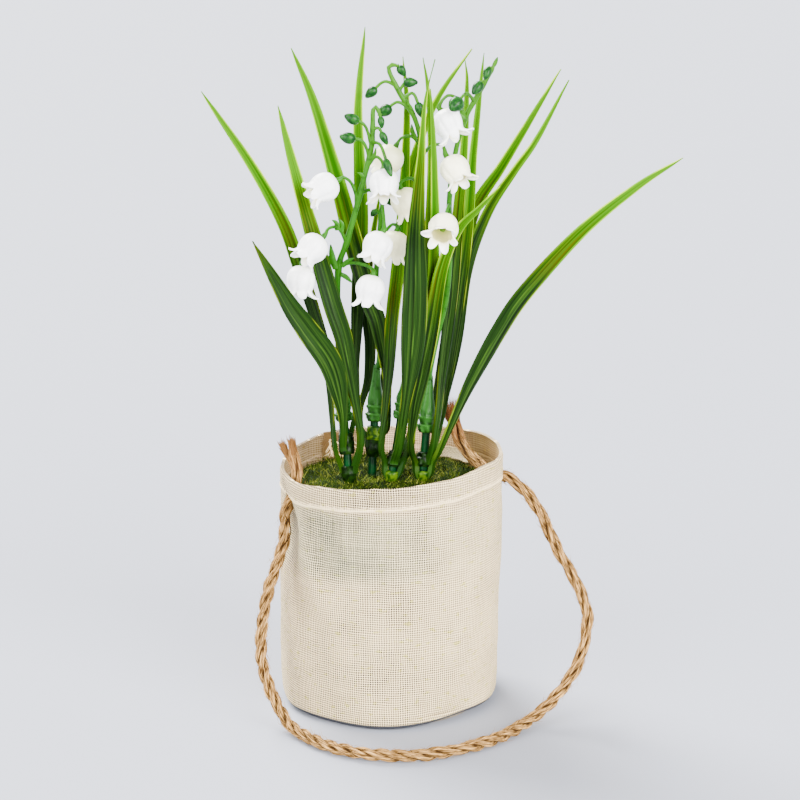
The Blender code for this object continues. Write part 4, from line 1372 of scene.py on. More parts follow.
    def fuzz(self) -> Piece:
        """Model the short loose fibres along the rope.

        Returns:
            The fibres.
        """
        draw = random.Random(self.fuzz_seed)
        fibres = []
        for _ in range(self.fuzz_count):
            ring = draw.randrange(8, self.rings - 8)
            way, side, up = self.frames[ring]
            out = round_way(draw.uniform(0.0, math.tau), side, up)
            lean = draw.uniform(0.1, 0.7)
            start = self.line[ring] + out * (self.diameter * 0.42)
            along = way * (1.0 if draw.random() < 0.5 else -1.0)
            length = draw.uniform(1.5, 4.4)
            bend = random_way(draw) * length * 0.25
            fibre = Fibre(start, (along + out * lean).normalized(), length, draw.uniform(0.05, 0.1), bend)
            if min(start.z, (start + fibre.way * length + bend).z) > 0.3:
                fibres.append(fibre)
        return fibre_piece("jute_fuzz", fibres, 3, "crevice")

    def thread_loop(self) -> Piece:
        """Bevel the thin dark thread that stands away from the rope below the left hole.

        Returns:
            The thread.
        """
        line = smooth_route(THREAD_LOOP, 14)
        loop = Bench.tube("jute_thread_loop", line, [self.thread_radius] * len(line), 6)
        Bench.mark(loop, "crevice", 1.0)
        return loop

    def tail_brush(self, end: TailEnd) -> Piece:
        """Model the yarns and fibres that stand out of a cut tail's strands.

        Args:
            end: Which tail.

        Returns:
            The brush of fibres.
        """
        brush = TAIL_BRUSHES[end]
        draw = random.Random(brush.seed)
        tip, back = brush.tip_ring % self.rings, brush.back_ring % self.rings
        fibres = []
        for index in range(self.strands):
            middle = self.strand_middle(index, tip)
            way = (middle - self.strand_middle(index, back)).normalized()
            side = way.orthogonal().normalized()
            up = way.cross(side)
            for _ in range(brush.count):
                turn = draw.uniform(0.0, math.tau)
                reach = math.sqrt(draw.random()) * self.strand_radius * 0.95
                out = round_way(turn, side, up)
                root = middle - way * draw.uniform(2.0, 5.0) + out * reach
                length = draw.uniform(*brush.length)
                aim = (way + out * brush.lean * reach).normalized()
                bend = random_way(draw) * length * brush.bend
                fibres.append(Fibre(root, aim, length, draw.uniform(*brush.thickness), bend, brush.tone))
        return fibre_piece("jute_tail_" + end.value, fibres, 3, "tail")

    def build(self) -> None:
        rope = Bench.joined("jute_handle", [self.strand(index) for index in range(self.strands)])
        Bench.shade(rope, 70.0)
        extras = [self.fuzz(), self.thread_loop(), *[self.tail_brush(end) for end in TailEnd]]
        for piece in (rope, *extras):
            Bench.coat(piece, self.finishes.jute)
            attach(piece, "root")
        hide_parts("jute_rope")
        LOG.info("rope built, %.0f mm long", self.total)


# The linen bag


@dataclass(frozen=True)
class Fold:
    """A soft push of the cloth: its angle, half width and reach, its height and half height, and its lean."""

    angle: float
    width: float
    push: float = 1.0
    z: float = 0.0
    tall: float = math.inf
    lean: float = 0.0
    lean_from: float = 81.0

    def at(self, angle: float, z: float = 0.0) -> float:
        """Give the push at an angle and a height."""
        across = angle_gap(angle, self.angle + (self.lean_from - z) * self.lean)
        return self.push * hump(across, 0.0, self.width) * hump(z, self.z, self.tall)


@dataclass
class LinenBag:
    """A round linen wall with a turned hem, on a sewn base panel."""

    finishes: Finishes
    rope: RopeHandle
    radius: float = 42.5
    height: float = 97.3
    rim_heights: tuple[float, ...] = (
        99.3, 100.4, 99.4, 98.0, 97.6, 95.9, 94.2, 93.7, 95.9, 97.5, 99.0, 100.6)
    cloth: float = 1.15
    hem_width: float = 8.8
    hem_step: float = 0.3
    hem_ridge: float = 0.24
    foot_tuck: float = 1.5
    foot_height: float = 0.9
    rim_round: float = 0.45
    sides: int = 216
    bulge: float = 0.5
    crease: float = 0.6
    dent: Fold = Fold(201.0, 12.0, 4.2, 73.0, 10.0)
    back_fold: Fold = Fold(117.0, 8.0, 3.0)
    back_rise: Fold = Fold(117.0, 9.0, 1.3)
    slack: tuple[Fold, ...] = (Fold(214.0, 5.5, 1.5, 58.0, 15.0, 0.6), Fold(232.0, 9.0, -0.8, 40.0, 26.0))
    foot_folds: tuple[Fold, ...] = (
        Fold(-22.0, 11.0, 0.9), Fold(205.0, 10.0, 0.9), Fold(231.0, 13.0, -0.8), Fold(-50.0, 12.0, -0.6))
    corner: Fold = Fold(-40.0, 20.0, 1.5)
    lip: Fold = Fold(-63.0, 11.0)
    # where shade is painted in the crease at the left of the wall
    fold_shade: Fold = Fold(200.0, 5.0, 0.8, 67.0, 15.0, 0.5)
    seen_through: Fold = Fold(247.0, 27.0, 0.8)
    # where light is painted on the back of the wall
    back_light: Fold = Fold(84.0, 26.0)
    base_radius: float = 37.9
    stitches: int = 92
    thread_count: int = 170
    thread_seed: int = 5

    @property
    def hem(self) -> float:
        """Give the share of the height where the hem starts."""
        return 1.0 - self.hem_width / self.height

    def rim_height(self, angle: float) -> float:
        """Give the rim's height, read from its heights every 30 degrees, with a raised fold at the back.

        Args:
            angle: The angle in degrees.

        Returns:
            The height.
        """
        place = (angle % 360.0) / 30.0
        index = int(place)
        share = ease_in(place - index, 0.0, 1.0)
        low, high = self.rim_heights[index % 12], self.rim_heights[(index + 1) % 12]
        return low + (high - low) * share + self.back_rise.at(angle)

    def wall_radius(self, angle: float, z: float) -> float:
        """Give the outer radius of the wall below the hem.

        Args:
            angle: The angle in degrees.
            z: The height.

        Returns:
            The radius.
        """
        share = z / self.height
        radius = self.radius + share * (1.0 + 0.9 * math.cos(math.radians(angle)))
        radius += self.bulge * math.sin(math.pi * share)
        radius += self.crease * share**2 * math.sin(math.radians(3.0 * angle + 40.0))
        return radius - self.dent.at(angle, z) - self.back_fold.at(angle) * share**8

    def wrinkle(self, angle: float, z: float) -> float:
        """Give the small push in or out of the cloth at a place: soft folds, puckers and slack.

        Args:
            angle: The angle in degrees.
            z: The height.

        Returns:
            The push, outwards.
        """
        turn = math.radians(angle)
        spot = Vector((2.2 * math.cos(turn), 2.2 * math.sin(turn), z / 26.0))
        push = 0.7 * noise.noise(spot) + 0.3 * noise.noise(spot * 2.9) + 0.12 * noise.noise(spot * 7.0)
        below = math.exp(-abs(z - self.hem * self.rim_height(angle)) / 6.0)
        push += 0.16 * below * math.sin(math.radians(angle * 31.0)) * (0.6 + 0.4 * math.sin(turn * 5.0))
        push += sum(fold.at(angle, z) for fold in self.slack)
        foot = 0.5 * math.sin(3.0 * turn + 0.6) + 0.35 * math.sin(7.0 * turn)
        foot += sum(fold.at(angle) for fold in self.foot_folds)
        return push * ease_in(z, 0.0, 12.0) + foot * hump(z, 3.0, 7.0)

    def rows(self) -> list[float]:
        """Give the shares of the height that the wall's rows lie at.

        Returns:
            The shares, upwards.
        """
        low = [0.0, 0.003, 0.008, 0.014, 0.02, 0.027, 0.036, 0.054, 0.076]
        middle = list(np.linspace(0.1, self.hem - 0.022, 34))
        step = [self.hem - 0.012, self.hem - 0.005, self.hem - 0.001, self.hem + 0.002, self.hem + 0.006]
        step += [self.hem + 0.011]
        top = list(np.linspace(self.hem + 0.02, 0.975, 6)) + [0.988, 0.996, 1.0]
        return low + [float(share) for share in middle] + step + [float(share) for share in top]

    def outline_step(self, share: float) -> float:
        """Give how far a row stands in or out: the rounded foot, the hem and the rounded rim.

        Args:
            share: The row's share of the height.

        Returns:
            The step, outwards.
        """
        foot = self.foot_tuck * max(0.0, 1.0 - share / 0.03) ** 2.0
        hem = self.hem_step * ease_in(share, self.hem - 0.001, self.hem + 0.003)
        hem += self.hem_ridge * hump(share, self.hem + 0.0035, 0.004)
        return hem - foot - self.rim_round * ease_in(share, 0.985, 1.0)

    def surface(self, angle: float, share: float, out: float = 0.0) -> Vector:
        """Give the point of the cloth's outer side at an angle and a share of the height.

        Args:
            angle: The angle in degrees.
            share: The share of the height.
            out: How far off the cloth.

        Returns:
            The point.
        """
        z = share * self.rim_height(angle)
        reach = self.wall_radius(angle, z) + self.outline_step(share) + self.wrinkle(angle, z) + out
        reach += self.lip.at(angle) * (0.8 * hump(z, 2.2, 0.7) - 0.6 * hump(z, 3.6, 0.7))
        lift = self.foot_height + self.corner.at(angle)
        return polar(angle, reach, z + lift * (1.0 - ease_in(share, 0.0, 0.12)))

    def marks(self, angle: float, share: float, z: float) -> dict[str, float]:
        """Give the numbers that the linen's finish reads at a point of the wall.

        Args:
            angle: The point's angle.
            share: Its share of the wall's height.
            z: Its height.

        Returns:
            Each number by its name.
        """
        hem_z = self.hem * self.rim_height(angle)
        patch = ripple(angle / 17.0, z / 11.0, 1.0)
        band = ease_in(z, 56.0, 66.0) * (1.0 - ease_in(z, 84.0, 88.5))
        band *= 0.2 + self.seen_through.at(angle)
        # painted shade along a line above the foot's lip at the front right
        lip = 0.4 * self.lip.at(angle) * hump(share, 0.037, 0.006)
        return {
            "show": band * min(1.0, 0.9 + 0.35 * patch),
            # painted shade: the crease at the left, a line just under the hem and a line above the foot's lip
            "shade": self.fold_shade.at(angle, z) + 0.25 * hump(z, hem_z - 0.8, 0.7) + lip,
            # painted light: the glow mark lightens the back and back left of the wall, where the lamps fall on
            # the inside
            "glow": max(0.1, self.back_light.at(angle), 0.6 * hump(angle, 144.0, 22.0)),
            "seam": 0.85 * hump(z, hem_z + 0.35, 0.42),
            # painted shadow along the lowest rows of the wall
            "painted_foot_shadow": 1.0 - ease_in(share, 0.013, 0.021),
            "crisp": max(ease_in(z, hem_z, hem_z + 2.0), 1.5 * band),
            # painted brown shade where the seam curls in at the back left of the rim
            "curl": hump(angle_gap(angle, 119.0), 0.0, 6.0) * ease_in(z, 84.0, 92.0),
        }

    def build_wall(self) -> Piece:
        """Raise the wall row by row, turn its hem, thicken it and cut the rope's holes.

        Returns:
            The wall.
        """
        profile = [(self.radius, share * self.height) for share in self.rows()]
        wall = Bench.turned("linen_wall", profile, self.sides)
        found = []
        for vert in wall.data.vertices:
            angle = math.degrees(math.atan2(vert.co.y, vert.co.x))
            share = vert.co.z / MM / self.height
            vert.co = self.surface(angle, share) * MM
            found.append(self.marks(angle, share, vert.co.z / MM))
        for name in found[0]:
            Bench.mark(wall, name, [marks[name] for marks in found])
        Bench.unroll(wall, lambda p: ((math.atan2(p.y, p.x) / math.tau) % 1.0, p.z / 0.1))
        Bench.coat(wall, self.finishes.outside, self.finishes.inside)
        Bench.thicken(wall, self.cloth, -1.0, 1)
        for end in TailEnd:
            Bench.cut(wall, self.rope.room_cutter(end))
        Bench.shade(wall, 60.0)
        return wall

    def build_base(self) -> Piece:
        """Turn the base panel, with a rolled seam round its edge.

        Returns:
            The base panel.
        """
        edge = self.base_radius
        profile = [(0.0, 2.0), (edge - 2.4, 2.0), (edge - 1.0, 2.0), (edge - 0.2, 1.7), (edge, 1.1)]
        profile += [(edge - 0.15, 0.45), (edge - 0.7, 0.08), (edge - 1.6, 0.0), (edge - 2.1, 0.3)]
        profile += [(edge - 2.6, 0.3), (edge - 3.1, 0.0), (0.0, 0.0)]
        base = Bench.turned("linen_base_panel", profile, 96)
        # the card is dyed dark as painted shade under the foot
        Bench.coat(base, self.finishes.card)
        Bench.shade(base, 60.0)
        return base

    def build_stitches(self) -> Piece:
        """Sew the hem: one stitch is shaped from a ball and copied round the rim.

        Returns:
            The stitches.
        """
        model = Bench.ball("stitch", 6, 4)
        corners = np.array([tuple(vert.co) for vert in model.data.vertices])
        faces = [tuple(polygon.vertices) for polygon in model.data.polygons]
        bpy.data.objects.remove(model, do_unlink=True)
        points, all_faces = [], []
        share = self.hem + 0.014
        for number in range(self.stitches):
            angle = number * 360.0 / self.stitches
            centre = self.surface(angle, share, 0.02)
            ahead = (self.surface(angle + 1.0, share, 0.02) - centre).normalized()
            out = polar(angle, 1.0)
            up = out.cross(ahead).normalized()
            first = len(points)
            for x, y, z in corners:
                points.append(centre + ahead * (x * 1.05) + out * (y * 0.2) + up * (z * 0.22))
            all_faces += [tuple(first + index for index in face) for face in faces]
        piece = Bench.from_points("hem_stitches", points, all_faces)
        Bench.coat(piece, self.finishes.sewing)
        Bench.weld(piece, 0.001)
        Bench.shade(piece, 70.0)
        return piece

    def build_seam_flap(self) -> Piece:
        """Curl the raw seam edge that turns in at the back of the rim.

        Returns:
            The flap.
        """
        flap = Bench.strip("seam_flap", 12, 18)
        for vert in flap.data.vertices:
            across, along = (vert.co.x + 1.0) * 0.5, vert.co.y
            z = 91.6 + 6.8 * along
            curl = math.radians(200.0) * across
            wave = 0.7 * ripple(along * 2.0, across * 2.0, 6.0)
            angle = 130.0 - 9.5 * across - 2.0 * math.sin(curl) + 2.0 * wave
            reach = self.wall_radius(angle, z) - self.cloth - 0.5
            reach -= 2.4 * (1.0 - math.cos(curl)) * 0.5 + 0.8 * abs(wave)
            vert.co = polar(angle, reach, z + wave) * MM
        Bench.coat(flap, self.finishes.inside)
        Bench.mark(flap, "shade", 0.0)
        # the flap carries a little painted light and the painted brown shade of its curl
        Bench.mark(flap, "glow", 0.1)
        Bench.mark(flap, "curl", [0.75 * ease_in(vert.co.z / MM, 87.0, 95.0) for vert in flap.data.vertices])
        Bench.thicken(flap, 0.5, 0.0)
        Bench.shade(flap)
        return flap

    def build_lining(self) -> Piece:
        """Lay the net-like turned edge of the cloth that rests on the moss at the right.

        Returns:
            The lining's edge.
        """
        lining = Bench.strip("lining_edge", 8, 40)
        for vert in lining.data.vertices:
            across, along = (vert.co.x + 1.0) * 0.5, vert.co.y
            angle = 50.0 + 15.0 * along
            crumple = 0.6 * ripple(angle * 0.2, across * 2.0, 3.0)
            z = 91.8 - 3.2 * math.sin(0.5 * math.pi * across) + crumple
            reach = self.wall_radius(angle, z) - self.cloth - 0.5 - 4.2 * across**2 + crumple
            vert.co = polar(angle, reach, z) * MM
        layer = lining.data.uv_layers.active
        for loop in layer.data:
            loop.uv = (loop.uv.y * 0.11, loop.uv.x * 0.09)
        Bench.coat(lining, self.finishes.outside)
        Bench.mark(lining, "show", 0.35)
        Bench.thicken(lining, 0.4, 0.0)
        Bench.shade(lining)
        return lining

    def build_loose_threads(self) -> Piece:
        """Let loose warp threads hang from the raw edge inside the back of the rim.

        Returns:
            The threads.
        """
        draw = random.Random(self.thread_seed)
        fibres = []
        for _ in range(self.thread_count):
            angle = draw.uniform(113.0, 127.0)
            z = draw.uniform(88.0, 97.0)
            root = polar(angle, self.wall_radius(angle, z) - self.cloth - draw.uniform(0.4, 1.6), z)
            way = (Vector((0.2, -0.5, -0.8)) + random_way(draw) * 0.7).normalized()
            length = draw.uniform(3.0, 6.5)
            bend = Vector((draw.uniform(-2.0, 2.0), draw.uniform(-2.6, 0.0), draw.uniform(-0.5, 1.6)))
            if root.z + way.z * length + bend.z > 88.0:
                fibres.append(Fibre(root, way, length, draw.uniform(0.2, 0.34), bend))
        piece = fibre_piece("loose_threads", fibres, 5, "shade")
        Bench.coat(piece, self.finishes.outside)
        return piece

    def build(self) -> None:
        """Build the bag and dress it."""
        wall = self.build_wall()
        base = self.build_base()
        trims = [self.build_stitches(), self.build_seam_flap()]
        trims += [self.build_lining(), self.build_loose_threads()]
        for piece in (wall, base, *trims):
            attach(piece, "root")
        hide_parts("bag_wall")
        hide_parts("bag_base")
        LOG.info("bag built")


# The filling

PLANTS = {
    "a": ((-15, -6, 89.5), (-17, -3, 112.6)),
    "b": ((-6.4, 0.5, 89.5), (-5.4, 4, 110.6)),
    "c": ((1.2, -5, 89.5), (4.9, -1, 112.8)),
    "d": ((13.5, -5, 89.5), (14.7, -2, 107.8)),
}


def rod_axis(plant: str) -> tuple[Vector, Vector]:
    """Give a point on a plant's rod at the moss, and the rod's direction."""
    foot, top = (Vector(point) for point in PLANTS[plant])
    return foot, (top - foot).normalized()


def rod_at(plant: str, z: float) -> Vector:
    """Give the rod's centre at a height."""
    foot, way = rod_axis(plant)
    return foot + way * ((z - foot.z) / way.z)


def stood_on(place: Vector, way: Vector) -> Matrix:
    """Give the move that stands a piece made about Z at a place in millimetres, pointing a way."""
    return Matrix.Translation(place * MM) @ way.to_track_quat("Z", "Y").to_matrix().to_4x4()


@dataclass
class MossBed:
    """A mat of moss on the foam, with thousands of short fibres."""

    finishes: Finishes
    radius: float = 38.8
    edge: float = 87.6
    top: float = 89.5
    bottom: float = 84.9
    bare_round: float = 2.0
    fibre_count: int = 13000
    seed: int = 11

    def height(self, x: float, y: float) -> float:
        """Give the top of the mat at a place.

        Args:
            x, y: The place.

        Returns:
            The height.
        """
        share = math.hypot(x, y) / self.radius
        bumps = 0.35 * math.sin(0.31 * x + 1.0) * math.cos(0.27 * y) + 0.2 * math.sin(0.55 * y - 0.4 * x)
        lumps = 0.8 * ripple(x / 6.0, y / 6.0, 0.0)
        lumps += 0.4 * ripple(x / 2.2, y / 2.2, 4.0)
        return self.top + (self.edge - self.top) * share**2 + bumps + lumps

    def build_mat(self) -> Piece:
        """Turn the mat and raise its lumps.

        Returns:
            The mat.
        """
        rings = [0.0, *np.linspace(2.0, self.radius - 1.4, 26), self.radius - 0.6, self.radius]
        profile = [(float(ring), self.edge) for ring in rings]
        profile += [(self.radius, self.bottom + 1.2), (self.radius - 0.8, self.bottom), (0.0, self.bottom)]
        mat = Bench.turned("moss_mat", profile, 96)
        tones = []
        for vert in mat.data.vertices:
            x, y, z = vert.co / MM
            if z > self.edge - 0.1:
                drop = 1.2 * hump(math.hypot(x, y), self.radius, 1.0)
                vert.co.z = (self.height(x, y) - drop) * MM
            tones.append(0.16 + 0.25 * ripple(x / 3.0, y / 3.0, 9.0))
        Bench.mark(mat, "tone", tones)
        Bench.coat(mat, self.finishes.moss)
        Bench.shade(mat, 80.0)
        return mat

    def build_fibres(self) -> Piece:
        """Plant the moss fibres all over the mat, in darker and yellower patches.

        Returns:
            The fibres.
        """
        draw = random.Random(self.seed)
        feet = [rod_axis(plant)[0] for plant in PLANTS]
        fibres = []
        while len(fibres) < self.fibre_count:
            reach = self.radius * math.sqrt(draw.random()) * 0.985
            turn = draw.uniform(0.0, math.tau)
            x, y = reach * math.cos(turn), reach * math.sin(turn)
            if any(math.hypot(x - foot.x, y - foot.y) < self.bare_round for foot in feet):
                continue
            way = random_way(draw)
            way.z = abs(way.z) * 0.8 + 0.25
            length = draw.uniform(1.2, 3.0)
            patch = ripple(x / 5.5, y / 5.5, 2.0)
            tone = min(1.0, max(0.0, 0.5 + 0.5 * patch + draw.gauss(0.0, 0.29)))
            root = Vector((x, y, self.height(x, y) - 0.5))
            bend = random_way(draw) * length * 0.45
            fibre = Fibre(root, way.normalized(), length, draw.uniform(0.12, 0.24), bend, tone)
            tip = root + fibre.way * length + bend
            if math.hypot(tip.x, tip.y) < self.radius + 0.6:
                fibres.append(fibre)
        piece = fibre_piece("moss_fibres", fibres, 2, "tone")
        Bench.coat(piece, self.finishes.moss)
        Bench.shade(piece, 80.0)
        return piece

    def build(self) -> None:
        """Build the moss and dress the foam under it."""
        mat, fibres = self.build_mat(), self.build_fibres()
        for piece in (mat, fibres):
            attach(piece, "root")
        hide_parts("moss_bed")
        Bench.coat(bpy.data.objects["foam_block"], self.finishes.foam)
        LOG.info("moss built, %d fibres", self.fibre_count)


# Rods, collars and leaves


@dataclass
class StemRod:
    """The green rod of one plant, from the foam up into the flower stalk's socket."""

    plant: str
    radius: float = 1.6
    depth: float = 44.0
    in_socket: float = 7.0

    def build(self, finishes: Finishes) -> None:
        """Turn the rod with rounded ends and stand it in its hole.

        Args:
            finishes: The pot plant's finishes.
        """
        foot, way = rod_axis(self.plant)
        top = (Vector(PLANTS[self.plant][1]) - foot).length + self.in_socket
        low, r = -self.depth, self.radius
        profile = [(0.0, low), (r - 0.25, low), (r, low + 0.25)]
        profile += [(r, low + (top - low) * step / 12.0) for step in range(1, 12)]
        profile += [(r, top - 0.25), (r - 0.25, top), (0.0, top)]
        rod = Bench.turned(f"stem_rod_{self.plant}", profile, 20)
        rod.data.transform(stood_on(foot, way))
        Bench.coat(rod, finishes.rod)
        Bench.shade(rod, 40.0)
        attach(rod, "root")
        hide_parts("rod_" + self.plant)


@dataclass(frozen=True)
class LeafPlan:
    """One leaf: its side of the rod, its points, its breadth, how it faces, and where it turns bright."""

    side: float
    points: Sequence[Point]
    width: float
    face: tuple[float, float]
    petiole: float
    dark_until: float
    bright_from: float
    fullness: float = 0.55
    rise: float = 1.6
    neck: float = 0.2


LEFT_LONG = [
    (-20.4, -7.4, 103), (-21.2, -7.4, 113), (-22, -6.5, 126), (-23.3, -4.5, 140.1),
    (-28.3, -1.5, 157.1), (-34, 0, 174.6), (-39.7, 0, 190.5), (-51.3, -1, 212),
    (-69.6, -3, 240.2)]
LEFT_INNER = [
    (-10.6, -8, 106), (-12.6, -9, 122), (-17, -11, 147), (-21.5, -11, 162),
    (-30.7, -9, 196), (-35, -7, 211.5), (-41, -4, 235)]
LEFT_SHORT = [
    (-17.5, -11, 119.5), (-21.5, -14.5, 138), (-30.8, -18, 153), (-37.5, -20, 163.5),
    (-50, -24, 187.5)]
TALL_BACK = [
    (-12.2, 2, 120), (-12.6, 4, 134), (-12, 6, 152.5), (-10.3, 8, 188.5),
    (-10.8, 9, 209), (-11.2, 10, 234), (-8.6, 12, 262.5)]
NARROW_BACK = [
    (-10.6, 3, 108), (-10.8, 5.5, 116), (-7.8, 10, 126), (-7, 10, 140),
    (-8.2, 10, 154), (-7.4, 10, 172), (-3, 11, 200)]
TALL_LEFT = [
    (-0.6, 2, 108), (0, 1.5, 116.5), (-0.6, 0.5, 131), (-3.7, 0, 150),
    (-7, 0, 160), (-12.9, 1, 181.5), (-19.3, 2, 206.5), (-28, 3, 236),
    (-36.2, 4, 255.5)]
CROSSING = [
    (-4.5, 10.5, 112), (-2, 15.5, 125), (2.6, 20, 155), (6.5, 24, 194),
    (12.3, 26, 217.5), (19.7, 27, 234.5), (32.3, 28, 252.5)]
MIDDLE_BACK = [
    (-2.6, -7, 103), (-1.2, -6.5, 117.9), (0.3, -5, 133.5), (1.6, -2.6, 153.2),
    (4.6, 4.6, 179.6), (6.3, 10, 202.8), (7.2, 12.5, 232.5), (5.7, 12.5, 251.3)]
MIDDLE_BROAD = [
    (4, -10.5, 104), (6, -14, 117.6), (8.8, -17.5, 139.1), (10.2, -19, 163.3),
    (10.6, -18.4, 190.6), (12.4, -19, 217.5), (13.9, -19, 238.8), (17.4, -18, 253.9)]
MIDDLE_EDGE = [
    (8.5, -4, 103.1), (12, -6, 121.8), (14.9, -8, 144.3), (16.8, -10.5, 166),
    (17.4, -13, 186.3), (17.6, -17, 201.8), (16.9, -19, 224.2), (15.8, -19, 243.3)]
MIDDLE_THIN = [
    (8.2, 3, 105), (11.2, 6, 120), (13.4, 9, 150), (16, 11, 190),
    (16.4, 12, 216), (15.2, 12, 239), (13.3, 12, 251)]
RIGHT_FRONT = [
    (8.8, -9.5, 104.4), (10.3, -12.5, 120.4), (12.8, -13.3, 133.1), (16, -13.3, 150.7),
    (20, -13.3, 174.4), (26.3, -12, 189.4), (34.1, -14, 197.9), (41.8, -16, 206.5)]
RIGHT_TALL = [
    (17.5, -7, 104), (19.5, -5.5, 118), (21, -2.5, 133), (24.6, 1, 165),
    (26.7, 3, 193), (28.8, 4, 217), (29.8, 4, 242), (29, 4, 251)]
RIGHT_TALL_BACK = [
    (18.8, 1, 104), (21.5, 4.5, 115), (23.6, 8, 128), (27.5, 12, 157),
    (30.8, 13, 186), (32.5, 13, 212.5), (34.3, 12, 232), (36.3, 10, 253)]
RIGHT_ARCH_BACK = [
    (14.5, 6.5, 104), (18.5, 12, 118), (23, 17.5, 140), (27.3, 22, 167),
    (33.9, 26, 191), (44, 29, 206.5), (57, 32, 227.5), (67, 34, 244)]
RIGHT_ARCH = [
    (18.5, 5.5, 105), (22.5, 9.5, 120), (26.6, 14, 141), (30.2, 18, 168),
    (38.4, 21, 190), (48.7, 22, 206), (57.5, 23, 218.5), (69.5, 24, 241)]
RIGHT_LONG = [
    (19.8, -7.5, 102), (24.6, -8.5, 113.5), (31.4, -8.5, 129.4), (41.9, -9, 149.6),
    (52.3, -9, 165.4), (73.2, -8, 188.4), (94, -6, 205), (110.8, -5, 215.5)]


@dataclass
class LeafTuft:
    """A moulded collar round a rod, with the leaves that grow from it."""

    name: str
    plant: str
    bottom: float
    height: float
    leaves: Sequence[LeafPlan]
    hole: float = 1.98
    outer: float = 3.05
    seat: float = 2.5
    footed: bool = False
    dark_cup: bool = False
    bright_inside: bool = False
    cup_drop: float = 2.6
    inner_rise: float = 0.0
    thickness: float = 0.55
    root_thickness: float = 1.7
    fold: float = 0.32
    rib: float = 0.09
    wave: float = 0.1
    tip: float = 0.22
    neck_width: float = 0.045
    ease: float = 1.15
    sides: int = 28
    across: int = 12
    along: int = 76

    def share(self, t: float, plan: LeafPlan) -> float:
        """Give the half width along a leaf, as a share of its widest.

        Args:
            t: The place along the leaf, from 0 to 1.
            plan: The leaf.

        Returns:
            The share.
        """
        rise = 1.0 / (1.0 + math.exp(-(t - plan.neck) / self.neck_width))
        full = 1.3 - max(0.0, plan.fullness) * ease_in(t, 0.45, 1.0)
        belly = math.sin(math.pi * min(1.0, (t + 0.1) / 1.1)) ** full if t < 1.0 else 0.0
        belly *= 1.0 + min(0.0, plan.fullness) * ease_in(t, 0.25, 0.85)
        return plan.petiole * (1.0 - rise) + belly * rise

    def build_leaf(self, number: int, plan: LeafPlan) -> Piece:
        """Lay a strip along a leaf's route, fold it, rib it and thicken it.

        Args:
            number: The leaf's place in the tuft.
            plan: The leaf.

        Returns:
            The leaf.
        """
        out = polar(plan.side, self.seat)
        if self.footed and plan.rise < 3.0:
            steps = ((-0.5, 0.8), (1.8, 1.2), (6.0, 1.45))
        else:
            steps = ((plan.rise, 1.0), (max(self.height, plan.rise + 2.0), 1.15))
        start = [rod_at(self.plant, self.bottom + rise) + out * share for rise, share in steps]
        rows = self.along
        line = smooth_route([*start, *plan.points], rows + 1, self.ease)
        flat = plan.side if abs(angle_gap(plan.side, plan.face[0])) <= 90.0 else plan.side + 180.0
        twist = angle_gap(flat, plan.face[0])
        seed = (number * 0.37 + self.bottom * 0.173 + plan.width * 0.29) % 1.0
        leaf = Bench.strip(f"{self.name}_leaf_{number}", self.across, rows)
        suns, roots = [], []
        for vert in leaf.data.vertices:
            offset = vert.co.x
            index = round((vert.co.y + 1.0) / 2.0 * rows)
            t = (index / rows) ** self.ease
            root = max(0.0, 1.0 - t / 0.16)
            before, after = line[max(index - 1, 0)], line[min(index + 1, rows)]
            tangent = (after - before).normalized()
            outward = polar(plan.face[0] + (plan.face[1] - plan.face[0]) * t + twist * root, 1.0)
            breadth = tangent.cross(outward).normalized()
            normal = breadth.cross(tangent)
            half = max(plan.width / 2.0 * self.share(t, plan), self.tip * (1.0 - 0.6 * ease_in(t, 0.9, 1.0)))
            bow = abs(offset) ** 1.25
            rise = self.fold * (1.0 - root) * (half - self.tip) * bow
            ribs = self.rib * math.cos(offset * 4.0 * math.pi) * min(1.0, half / 2.5) * (1.0 - root)
            wave = self.wave * half * ripple(t * 7.0, offset, seed * 20.0) * abs(offset)
            vert.co = (line[index] + breadth * (offset * half) + normal * (rise + ribs + wave)) * MM
            suns.append(ease_in(line[index].z, plan.dark_until, plan.bright_from))
            roots.append(1.0 - ease_in(t, 0.02, 0.2))
        Bench.mark(leaf, "sun", suns)
        Bench.mark(leaf, "root", [0.5 * root for root in roots])
        Bench.mark(leaf, "seed", seed)
        thick = leaf.vertex_groups.new(name="thick")
        for index, root in enumerate(roots):
            thick.add([index], root, "REPLACE")
        thin = self.thickness / self.root_thickness
        Bench.thicken(leaf, self.root_thickness, 0.0, group=(thick.name, thin))
        return leaf

    def stood_ring(self, name: str, profile: list[tuple[float, float]], rough: float) -> Piece:
        """Turn a ring from a profile open at the hole, close its hole and stand it round the rod.

        Args:
            name: The piece's name.
            profile: The rows from the hole's foot, outside and up, to the hole's top.
            rough: How far the mould's roughness pushes the outside.

        Returns:
            The ring.
        """
        ring = Bench.turned(name, profile, self.sides)
        for vert in ring.data.vertices:
            x, y, z = vert.co / MM
            reach = math.hypot(x, y)
            if reach > self.hole + 0.2:
                grow = 1.0 + rough * ripple(x * 0.8, y * 0.8, z * 0.7 + self.bottom) / reach
                vert.co.x *= grow
                vert.co.y *= grow
        Bench.hold(ring)
        Bench.edit("DESELECT")
        bpy.ops.mesh.select_non_manifold()
        bpy.ops.mesh.bridge_edge_loops()
        Bench.close_edit()
        ring.data.transform(stood_on(rod_at(self.plant, self.bottom), rod_axis(self.plant)[1]))
        return ring

